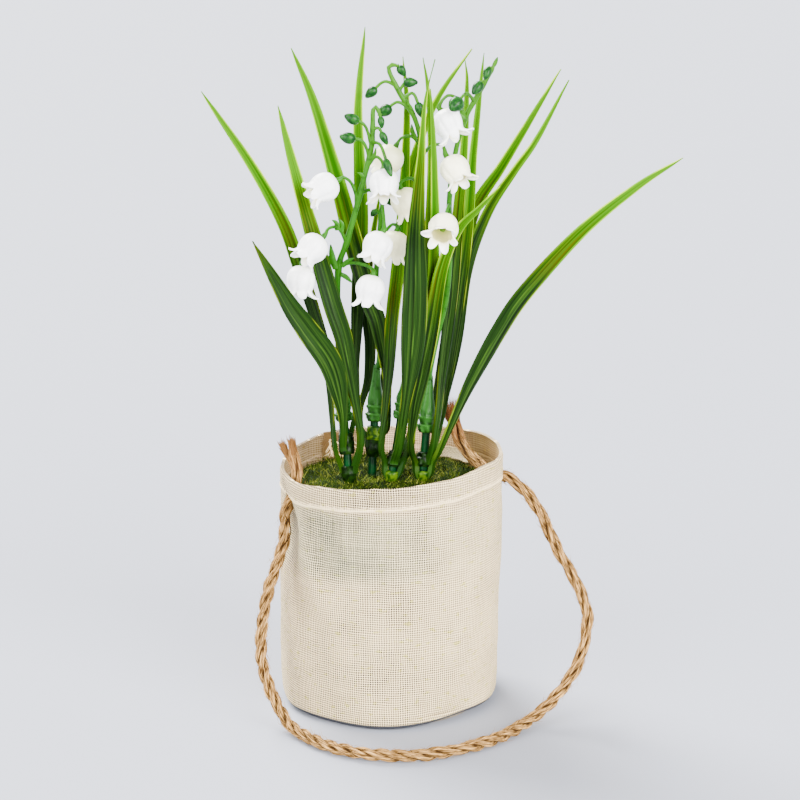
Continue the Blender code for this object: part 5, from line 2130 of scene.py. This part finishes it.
    def build_cup(self) -> Piece:
        """Turn the cup that the leaf stalks spring from, with its foot in the moss and a thin lip.

        Returns:
            The cup.
        """
        top, outer, hole, drop = self.height, self.outer, self.hole, self.cup_drop
        if self.footed:
            foot = [(hole, -drop), (hole + 0.22, -drop), (hole + 0.5, -drop * 0.6), (2.75, -0.2), (2.95, 0.6)]
            foot += [(2.9, 1.4), (2.7, 1.9), (2.4, 2.1), (hole, 2.0)]
            return self.stood_ring(f"{self.name}_cup", foot, 0.2)
        if self.inner_rise:
            top *= 0.8
        profile = [(hole, -drop), (hole + 0.22, -drop), (hole + 0.5, -drop * 0.6), (outer - 0.25, 0.0)]
        profile += [(outer + 0.12, 1.2), (outer + 0.02, top * 0.45), (outer, top - 0.9)]
        profile += [(outer + 0.1, top - 0.5), (outer + 0.08, top - 0.15), (outer - 0.2, top)]
        profile += [(outer - 0.55, top - 0.25), (hole, top - 0.3)]
        return self.stood_ring(f"{self.name}_cup", profile, 0.25)

    def build_inner_collar(self) -> Piece:
        """Turn the rough dark collar that stands inside the cup.

        Returns:
            The collar.
        """
        hole, low, high = self.hole, self.height * 0.6, self.height + self.inner_rise
        profile = [(hole, low), (2.5, low), (2.95, low + 1.0), (2.75, low + 2.2), (2.95, low + 3.3)]
        profile += [(2.7, (low + high) * 0.5 + 1.0), (2.85, high - 1.4), (2.6, high - 0.3), (2.3, high)]
        profile.append((hole, high))
        return self.stood_ring(f"{self.name}_inner", profile, 0.7)

    def build(self, finishes: Finishes) -> None:
        """Build the tuft and dress it.

        Args:
            finishes: The pot plant's finishes.
        """
        leaves = [self.build_leaf(number, plan) for number, plan in enumerate(self.leaves)]
        for leaf in leaves:
            Bench.coat(leaf, finishes.leaf)
        rings = [self.build_cup()]
        Bench.coat(rings[0], finishes.collar if self.dark_cup else finishes.cup)
        if self.inner_rise:
            rings.append(self.build_inner_collar())
            Bench.coat(rings[1], finishes.cup if self.bright_inside else finishes.collar)
        tuft = Bench.joined(self.name + "_leaves", [*leaves, *rings])
        Bench.shade(tuft, 50.0)
        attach(tuft, "root")
        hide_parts(self.name)
        LOG.info("%s built, %d leaves", self.name, len(leaves))


TUFTS = [
    LeafTuft("tuft_a_lower", "a", 91, 4.5, [
        LeafPlan(185, LEFT_LONG, 5.8, (-150, -80), 0.45, 150, 220),
        LeafPlan(-25, LEFT_INNER, 7.2, (-60, -85), 0.4, 160, 228),
    ], dark_cup=True),
    LeafTuft("tuft_a_upper", "a", 100, 5, [
        LeafPlan(-110, LEFT_SHORT, 9, (-100, -60), 0.3, 158, 225, 0.35),
        LeafPlan(60, TALL_BACK, 5.4, (-70, -95), 0.3, 150, 215),
    ], dark_cup=True, cup_drop=-0.6, inner_rise=3),
    LeafTuft("tuft_b", "b", 99, 6, [
        LeafPlan(180, NARROW_BACK, 4.2, (-90, -95), 0.45, 140, 210),
        LeafPlan(-10, TALL_LEFT, 7.2, (-80, -100), 0.3, 160, 222),
        LeafPlan(90, CROSSING, 4.8, (-110, -60), 0.35, 150, 240),
    ], dark_cup=True, bright_inside=True, cup_drop=2, inner_rise=4),
    LeafTuft("tuft_c", "c", 91, 6.5, [
        LeafPlan(190, MIDDLE_BACK, 5, (-100, -80), 0.45, 120, 205),
        LeafPlan(-90, MIDDLE_BROAD, 10.6, (-90, -90), 0.3, 168, 252, -0.5, 5, 0.25),
        LeafPlan(-20, MIDDLE_EDGE, 4.2, (-60, -100), 0.45, 140, 212),
        LeafPlan(60, MIDDLE_THIN, 4.2, (-60, -80), 0.45, 150, 230),
    ], footed=True, inner_rise=3.4),
    LeafTuft("tuft_d", "d", 91, 6.5, [
        LeafPlan(195, RIGHT_FRONT, 6.2, (-120, -60), 0.45, 128, 212),
        LeafPlan(-50, RIGHT_TALL, 4.8, (-80, -90), 0.5, 160, 232, 0.55, 5),
        LeafPlan(20, RIGHT_TALL_BACK, 4.6, (-110, -90), 0.4, 150, 220),
        LeafPlan(100, RIGHT_ARCH_BACK, 5.4, (-110, -75), 0.35, 150, 225),
        LeafPlan(60, RIGHT_ARCH, 5, (-80, -60), 0.35, 160, 235),
        LeafPlan(-20, RIGHT_LONG, 6.2, (-75, -95), 0.4, 145, 214),
    ], footed=True, inner_rise=3),
]


# Flower stalks and bells

STALK_A = [
    (-19, -3, 145), (-19.3, -4, 161), (-18.5, -5.5, 174.8), (-15.4, -7, 184.2),
    (-10.4, -8, 202.3), (-6.2, -8, 219.3), (-5.6, -8, 228), (-5.4, -8, 233.8),
    (-4.1, -8, 235), (-3, -8.2, 232.4)]
STALK_B = [
    (-3.2, 5, 135), (-3, 5.2, 148), (-4.6, 4.6, 163), (-4, 4.2, 177), (-3, 4, 188),
    (-2.2, 4, 196), (-1.2, 4, 199)]
STALK_C = [
    (6.2, 1.5, 140), (7.6, 4, 153), (9.6, 6.5, 178), (11.8, 8, 204), (12.4, 8, 219),
    (9.9, 8, 229.2), (5, 8, 237.3), (0.6, 8, 246), (0.9, 8, 248.6), (3.4, 8, 248.6)]
STALK_D = [
    (16, -3, 133), (18.9, -4.5, 148), (21.8, -5.5, 160.4), (23.2, -6, 174.8),
    (23.2, -5.5, 199.6), (25.3, -5, 217), (28.9, -5, 230.1), (34.8, -5, 241.3),
    (39.5, -5, 250.2)]


SOCKET_RINGS = [
    (0.0, 2.3), (0.2, 2.6), (0.8, 2.95), (1.5, 3.15), (2.1, 3.2), (2.5, 3.35), (2.8, 3.5),
    (3.1, 3.35), (3.4, 2.85), (3.9, 2.8), (4.8, 3.0), (5.4, 3.1), (5.7, 3.4), (6.0, 3.45),
    (6.3, 3.2), (6.6, 2.8), (7.4, 2.95), (8.2, 3.05), (9.4, 2.86), (11.5, 2.5), (14.0, 2.08),
    (17.0, 1.68), (21.0, 1.38), (22.0, 1.3)]


@dataclass(frozen=True)
class BudPlan:
    """A closed bud: its pedicel's points, its centre, half length and radius."""

    pedicel: Sequence[Point]
    centre: Point
    half_length: float
    radius: float


@dataclass(frozen=True)
class BellPlan:
    """A bell: its pedicel's points, its top, the way its mouth points and its tint."""

    pedicel: Sequence[Point]
    top: Point
    way: Point
    tint: BellTint = BellTint.WHITE


@dataclass(frozen=True)
class BractPlan:
    """A small pointed bract: its points from its root to its tip, and its width."""

    points: Sequence[Point]
    width: float


@dataclass
class FlowerSpray:
    """A flower stalk on its ringed socket, with its pedicels, bracts and buds."""

    plant: str
    stalk: Sequence[Point]
    buds: Sequence[BudPlan]
    bells: Sequence[BellPlan]
    bracts: Sequence[BractPlan]
    base_radius: float = 1.35
    tip_radius: float = 0.82
    pedicel_radius: float = 0.62
    pedicel_cone: tuple[float, ...] = (1.2, 1.7, 1.9)
    socket_length: float = 21.0
    bore: float = 2.0
    bore_depth: float = 7.3

    def build_socket(self) -> Piece:
        """Turn the socket, with its two moulded rings, knobs and cone, round its bore.

        Returns:
            The socket.
        """
        depth = self.bore_depth
        profile = [(0.0, depth), (self.bore, depth), (self.bore, depth * 0.5), (self.bore, 0.0)]
        profile += [(radius, height) for height, radius in SOCKET_RINGS] + [(0.0, SOCKET_RINGS[-1][0])]
        socket = Bench.turned(f"socket_{self.plant}", profile, 28)
        shift = 7.0 * sum(ord(letter) for letter in self.plant)
        dips = []
        for vert in socket.data.vertices:
            x, y, z = vert.co / MM
            reach = math.hypot(x, y)
            if reach > self.bore + 0.1 and z < 14.0:
                angle = math.atan2(y, x)
                knobs = 0.34 * math.cos(7.0 * angle + z * 0.9 + shift) * hump(z, 1.6, 1.6)
                knobs += 0.2 * math.cos(9.0 * angle + shift) * hump(z, 5.8, 0.9)
                rough = 0.4 * ripple(x * 0.7, y * 0.7, z * 0.8 + shift)
                grow = 1.0 + (knobs + rough) / reach
                vert.co.x *= grow
                vert.co.y *= grow
            # the dip mark paints shade in the grooves between the socket's rings, below its top
            sunk = 1.0 - ease_in(math.hypot(vert.co.x, vert.co.y) / MM, 2.55, 3.2)
            dips.append(0.85 * sunk * (1.0 - ease_in(z, 7.5, 9.5)))
        Bench.mark(socket, "dip", dips)
        way = rod_axis(self.plant)[1]
        socket.data.transform(stood_on(Vector(PLANTS[self.plant][1]), way))
        return socket

    def build_stalk(self) -> Piece:
        """Bevel the stalk along its route, with small swellings where the pedicels leave it.

        Returns:
            The stalk.
        """
        way = rod_axis(self.plant)[1]
        base = Vector(PLANTS[self.plant][1])
        start = [base + way * 19.0, base + way * self.socket_length]
        line = smooth_route([*start, *self.stalk], 70)
        joints = [Vector(plan.pedicel[0]) for plan in (*self.buds, *self.bells)]
        radii = []
        for index, point in enumerate(line):
            radius = self.base_radius + (self.tip_radius - self.base_radius) * index / (len(line) - 1)
            near = max((hump((point - joint).length, 0.0, 1.6) for joint in joints), default=0.0)
            radii.append(radius * (1.0 + 0.22 * near))
        radii[-1] *= 0.6
        return Bench.tube(f"stalk_{self.plant}", line, radii, 14)

    def build_pedicel(self, name: str, points: Sequence[Vector | Point],
                      radii_end: Sequence[float]) -> Piece:
        """Bevel one pedicel, thicker at its root.

        Args:
            name: The piece's name.
            points: The pedicel's points.
            radii_end: The factors of the last radii, towards the flower.

        Returns:
            The pedicel.
        """
        line = smooth_route(points, 16)
        radii = []
        for index in range(len(line)):
            share = index / (len(line) - 1)
            radii.append(self.pedicel_radius * (1.0 + 0.45 * (1.0 - ease_in(share, 0.0, 0.25))))
        for back, factor in enumerate(reversed(radii_end)):
            radii[-1 - back] = self.pedicel_radius * factor
        return Bench.tube(name, line, radii, 8)

    def build_bud(self, name: str, plan: BudPlan) -> Piece:
        """Shape a bud from a ball: egg-shaped, pointed, with six shallow seams.

        Args:
            name: The piece's name.
            plan: The bud.

        Returns:
            The bud.
        """
        bud = Bench.ball(name, 24, 14)
        for vert in bud.data.vertices:
            x, y, z = vert.co
            angle = math.atan2(y, x)
            seam = 1.0 - 0.05 * (0.5 + 0.5 * math.cos(6.0 * angle)) * math.sqrt(max(0.0, 1.0 - z * z))
            fat = 1.0 - 0.16 * z
            point = 1.0 + 0.16 * ease_in(z, 0.6, 1.0)
            vert.co = Vector((x * plan.radius * seam * fat, y * plan.radius * seam * fat,
                              z * plan.half_length * point)) * MM
        way = (Vector(plan.centre) - Vector(plan.pedicel[-1])).normalized()
        bud.data.transform(stood_on(Vector(plan.centre), way))
        return bud

    def build_bract(self, name: str, plan: BractPlan) -> Piece:
        """Shape a small pointed bract along its points.

        Args:
            name: The piece's name.
            plan: The bract.

        Returns:
            The bract.
        """
        bract = Bench.strip(name, 4, 10)
        line = smooth_route(plan.points, 11)
        for vert in bract.data.vertices:
            offset, index = vert.co.x, round((vert.co.y + 1.0) * 5.0)
            t = index / 10.0
            tangent = (line[min(index + 1, 10)] - line[max(index - 1, 0)]).normalized()
            breadth = tangent.cross(Vector((0.0, -1.0, 0.0))).normalized()
            half = plan.width / 2.0 * max(0.12, math.sin(math.pi * min(1.0, 0.25 + 0.75 * t)) ** 0.8)
            cup = -0.35 * half * (1.0 - offset * offset)
            vert.co = (line[index] + breadth * (offset * half) + Vector((0.0, cup, 0.0))) * MM
        Bench.thicken(bract, 0.45, 0.0)
        return bract

    def build(self, finishes: Finishes) -> None:
        """Build the spray and dress it.

        Args:
            finishes: The pot plant's finishes.
        """
        greens = [self.build_socket(), self.build_stalk()]
        buds = []
        for number, plan in enumerate(self.buds):
            greens.append(self.build_pedicel(f"bud_pedicel_{number}", [*plan.pedicel, plan.centre], ()))
            buds.append(self.build_bud(f"bud_{number}", plan))
        for number, plan in enumerate(self.bells):
            aim, top = Vector(plan.way).normalized(), Vector(plan.top)
            points = [*plan.pedicel, top - aim * 1.8, top + aim * 0.1]
            greens.append(self.build_pedicel(f"bell_pedicel_{number}", points, self.pedicel_cone))
        for number, plan in enumerate(self.bracts):
            greens.append(self.build_bract(f"bract_{number}", plan))
        for piece in greens:
            Bench.coat(piece, finishes.stalk)
        for piece in buds:
            Bench.coat(piece, finishes.bud)
        spray = Bench.joined(f"flower_spray_{self.plant}", [*greens, *buds])
        Bench.shade(spray, 50.0)
        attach(spray, "root")
        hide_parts("spray_" + self.plant)
        for number, plan in enumerate(self.bells):
            BellFlower(self.plant, number, plan).build(finishes)
        LOG.info("spray %s built, %d buds, %d bells", self.plant, len(buds), len(self.bells))


@dataclass
class BellFlower:
    """One hanging bell with six rounded lobes that curl out, and a pistil inside."""

    plant: str
    number: int
    plan: BellPlan
    lobes: int = 6
    sides: int = 72
    wall: float = 0.45
    waist: float = 4.4
    lip: float = 9.2
    reach: float = 3.7
    skirt_rows: int = 9

    def build_cup(self) -> Piece:
        """Turn the cup down from its top, then draw its rim out into lobes.

        Returns:
            The cup.
        """
        dome = [(0.0, 0.0), (1.3, -0.08), (2.6, -0.42), (3.8, -1.1), (4.7, -2.1), (5.3, -3.3), (5.6, -4.6)]
        dome += [(5.6, -5.8), (5.35, -7.0), (4.9, -8.1), (self.waist, -self.lip)]
        skirt = [(self.waist, -self.lip - step / self.skirt_rows) for step in range(1, self.skirt_rows + 1)]
        cup = Bench.turned("cup", dome + skirt, self.sides)
        draw = random.Random(100 * ord(self.plant) + self.number)
        roll = draw.uniform(0.0, 60.0)
        lengths = [draw.uniform(0.8, 1.05) for _ in range(self.lobes)]
        curls = [draw.uniform(0.5, 1.45) for _ in range(self.lobes)]
        leans = [draw.uniform(-5.0, 5.0) for _ in range(self.lobes)]
        lean = draw.uniform(0.0, 360.0)
        for vert in cup.data.vertices:
            x, y, z = vert.co / MM
            angle = math.degrees(math.atan2(y, x))
            radius = math.hypot(x, y)
            soft = 1.0 + 0.015 * math.cos(math.radians(6.0 * angle)) * ease_in(-z, 1.0, 5.0)
            seam = hump(abs((angle % 60.0) - 30.0), 0.0, 4.5) * ease_in(-z, 1.2, 4.0)
            soft -= 0.06 * seam
            soft += 0.035 * ripple(x * 0.25, y * 0.25, z * 0.25 + self.number * 9.0)
            if z < -self.lip - 1e-3:
                place = angle / 60.0
                lobe = round(place)
                across = (place - lobe) * 2.0
                full = -z - self.lip
                length = 0.12 + 0.88 * max(0.0, 1.0 - abs(across) ** 2.2) ** 0.75
                stretch, curl = lengths[lobe % self.lobes], curls[lobe % self.lobes]
                q = full * length * stretch
                radius = self.waist + 0.3 * q + 2.3 * curl * max(0.0, q) ** 1.9
                z = -self.lip - self.reach * q + 0.9 * curl * q**3
                z += 0.5 * q * across * across + 0.25 * q * math.sin(across * 5.0 + 9.0 * stretch)
                angle = (lobe + across * 0.5 * (1.0 - 0.34 * q)) * 60.0 + leans[lobe % self.lobes] * q
            point = polar(angle + roll, radius * soft, z)
            squash = 1.0 + 0.035 * math.cos(math.radians(angle + roll - lean))
            vert.co = Vector((point.x * squash, point.y * squash, point.z)) * MM
        return cup

    def build_pistil(self) -> Piece:
        """Turn the small green pistil that hangs inside.

        Returns:
            The pistil.
        """
        profile = [(0.0, -0.4), (0.9, -0.6), (1.3, -1.6), (1.2, -3.2), (0.95, -5.2), (1.15, -6.2)]
        profile += [(0.8, -6.8), (0.0, -7.0)]
        return Bench.turned("pistil", profile, 16)

    def build(self, finishes: Finishes) -> None:
        """Build the bell and dress it.

        Args:
            finishes: The pot plant's finishes.
        """
        cup = self.build_cup()
        Bench.coat(cup, finishes.bell(self.plan.tint), finishes.throat)
        Bench.thicken(cup, self.wall, -1.0, 1)
        deep = self.lip + 4.0
        depths = [min(1.0, max(0.0, -vert.co.z / MM / deep)) for vert in cup.data.vertices]
        Bench.mark(cup, "depth", depths)
        pistil = self.build_pistil()
        Bench.coat(pistil, finishes.pistil)
        Bench.mark(pistil, "depth", 0.0)
        bell = Bench.joined(f"white_bell_{self.plant}{self.number + 1}", [cup, pistil])
        bell.data.transform(stood_on(Vector(self.plan.top), -Vector(self.plan.way)))
        Bench.shade(bell, 55.0)
        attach(bell, "root")
        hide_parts(f"bell_{self.plant}{self.number + 1}")


SPRAYS = [
    FlowerSpray("a", STALK_A, [
        BudPlan([(-6.2, -8, 221.5), (-8.6, -9.5, 228.5)], (-13.2, -10, 230.9), 2.8, 2),
        BudPlan([(-6.8, -8, 216.5), (-9.4, -9.8, 222.5)], (-14.7, -11, 223.9), 2.9, 2.2),
        BudPlan([(-3, -8.2, 232.4), (-2.6, -8.6, 231)], (-2.4, -9, 229.6), 2.1, 1.3),
        BudPlan([(-5.6, -8, 226.8), (-3.2, -9.2, 227.2)], (-1.4, -10, 223.8), 2.5, 1.5),
        BudPlan([(-6, -8, 222), (-2.6, -13, 221.4)], (0.2, -16.4, 213.9), 3.4, 1.6),
    ], [
        BellPlan([(-11.2, -8, 200), (-13.6, -11, 207), (-16.6, -13, 209.6)],
                 (-18.9, -13.5, 208.2), (-11, -3.5, -5.5)),
        BellPlan([(-15.6, -7, 184), (-18.6, -11.5, 190), (-22, -15, 190.6)],
                 (-24.4, -17.3, 187.5), (-8.5, -4, -8.5)),
        BellPlan([(-18.7, -5.5, 172), (-23.6, -5.4, 178.4), (-28.6, -6.8, 178.6)],
                 (-32.2, -9.6, 175.3), (-1, -1.2, -10.5)),
        BellPlan([(-6.9, -8, 214), (-4.4, -9.4, 216.6), (-2.4, -9.8, 215.4)],
                 (-1.7, -9.5, 211.8), (0.4, -5, -10)),
        BellPlan([(-10, -8, 203), (-6, -6.2, 203.4), (-2.4, -6.6, 199)],
                 (-1.9, -15.5, 189.1), (-4.5, -3.5, -10.5)),
        BellPlan([(-18.3, -5.7, 174.5), (-13, -8, 176), (-8, -10.5, 175.4)],
                 (-5.6, -13.5, 172.4), (-2.4, -2, -13)),
    ], [
        BractPlan([(-19.8, -7, 173.5), (-21, -7.4, 178), (-21.6, -7.6, 183)], 2.4),
        BractPlan([(-19, -11.6, 189.2), (-19.2, -12, 192), (-20.8, -12.2, 193.2)], 1.8),
        BractPlan([(-17.4, -10.6, 188.2), (-17.2, -11, 191.6), (-18.6, -11, 193.4)], 1.6),
        BractPlan([(-17.4, -6.6, 174.4), (-15, -7.2, 176.6), (-12.8, -7.6, 177.8)], 1.8),
        BractPlan([(-17.8, -6.4, 171.4), (-15.6, -7, 170.2), (-13.6, -7.2, 168.2)], 1.7),
        BractPlan([(-6.6, -9, 215.4), (-4.9, -9.8, 217.6), (-4.4, -9.8, 220)], 1.2),
        BractPlan([(-8.8, -9, 208.6), (-10.2, -9.2, 210.2), (-11.4, -9.4, 210.6)], 1.2),
    ]),
    FlowerSpray("b", STALK_B, [
        BudPlan([(-1.2, 4, 199), (-0.6, 4, 199)], (0.4, 4, 197.6), 1.9, 1.5),
        BudPlan([(-2.6, 4, 192), (-4.6, 4.6, 194)], (-5.4, 5.2, 192.8), 1.7, 1.3),
    ], [
        BellPlan([(-4, 4.2, 178), (-1.5, -1, 185.6), (1.6, -5.2, 190.2)],
                 (3.4, -5.8, 187.8), (-2.2, -1, -11), BellTint.CREAM),
    ], []),
    FlowerSpray("c", STALK_C, [
        BudPlan([(3.4, 8, 248.6), (4.4, 8, 247.8)], (5.2, 8, 246.6), 2.2, 1.7),
        BudPlan([(4.2, 8, 238.8), (6.6, 7.6, 242.2)], (8.4, 7.6, 242.2), 2.6, 1.9),
        BudPlan([(3, 8, 241.2), (-1.6, 8, 242.4)], (-6.2, 8, 238.4), 2.6, 1.9),
        BudPlan([(8.3, 8, 232.2), (3.6, 7.2, 234.8)], (-1, 7, 231.6), 2.8, 2.3),
        BudPlan([(6, 8, 236.2), (9.6, 7.4, 238)], (12.3, 7, 231.8), 3.2, 1.9),
    ], [
        BellPlan([(12.4, 8, 218.5), (8.8, 6.2, 222), (5.2, 4.6, 221.6)],
                 (3, 4, 218.4), (-5.5, 1, -10.5), BellTint.CREAM),
        BellPlan([(12.2, 8, 213), (16, 0, 219), (20.4, -9, 221)],
                 (22.3, -10.9, 216.5), (6, -5.5, -9.5), BellTint.IVORY),
        BellPlan([(11.6, 8, 202), (9.6, 4, 206), (6.8, 0.2, 206.6)],
                 (5, -1.4, 203.2), (3.5, 0.3, -9.6), BellTint.CREAM),
    ], [
        BractPlan([(10.6, 6.6, 221), (9.4, 6.2, 223.6), (9, 6, 226.6)], 1.6),
        BractPlan([(9.2, 7, 232), (7.8, 6.6, 234.2), (7.6, 6.4, 236)], 1.2),
    ]),
    FlowerSpray("d", STALK_D, [
        BudPlan([(38.4, -5, 248.8), (37.6, -6, 249.4)], (36.9, -7, 247.6), 2.5, 1.5),
        BudPlan([(35.6, -5, 242.8), (34.8, -6.4, 244)], (33.3, -8, 242.2), 2.9, 2),
        BudPlan([(32.2, -5, 237), (29, -12, 240.6)], (25.1, -18, 237.3), 3.2, 2.9),
    ], [
        BellPlan([(28.3, -5, 228.5), (27, -5.4, 236.6), (22.4, -8.4, 239.4)],
                 (19.9, -10.6, 234.2), (5.4, -3, -9.8)),
        BellPlan([(23.3, -5.7, 193), (23.2, -9, 198), (22.6, -13.6, 198.6)],
                 (21.2, -19.2, 194.8), (-1.4, -9.6, -5), BellTint.IVORY),
    ], [
        BractPlan([(29, -6.2, 229.4), (26.8, -6.8, 231.6), (24.6, -7, 232.8)], 2),
        BractPlan([(28.4, -6.2, 231), (27.4, -6.8, 233.8), (25.8, -7, 235.2)], 1.8),
        BractPlan([(39.3, -5, 249.8), (40.2, -5, 251.6), (40.8, -5, 253.2)], 1.4),
    ]),
]


def main() -> None:
    """Build every sub-assembly in order."""
    logging.basicConfig(level=logging.INFO, format="%(name)s: %(message)s")
    finishes = Finishes()
    studio = Studio(finishes)
    studio.build_camera()
    rope = RopeHandle(finishes)
    rope.build()
    studio.build()
    LinenBag(finishes, rope).build()
    MossBed(finishes).build()
    for plant in PLANTS:
        StemRod(plant).build(finishes)
    for tuft in TUFTS:
        tuft.build(finishes)
    for spray in SPRAYS:
        spray.build(finishes)


if __name__ == "__main__":
    main()
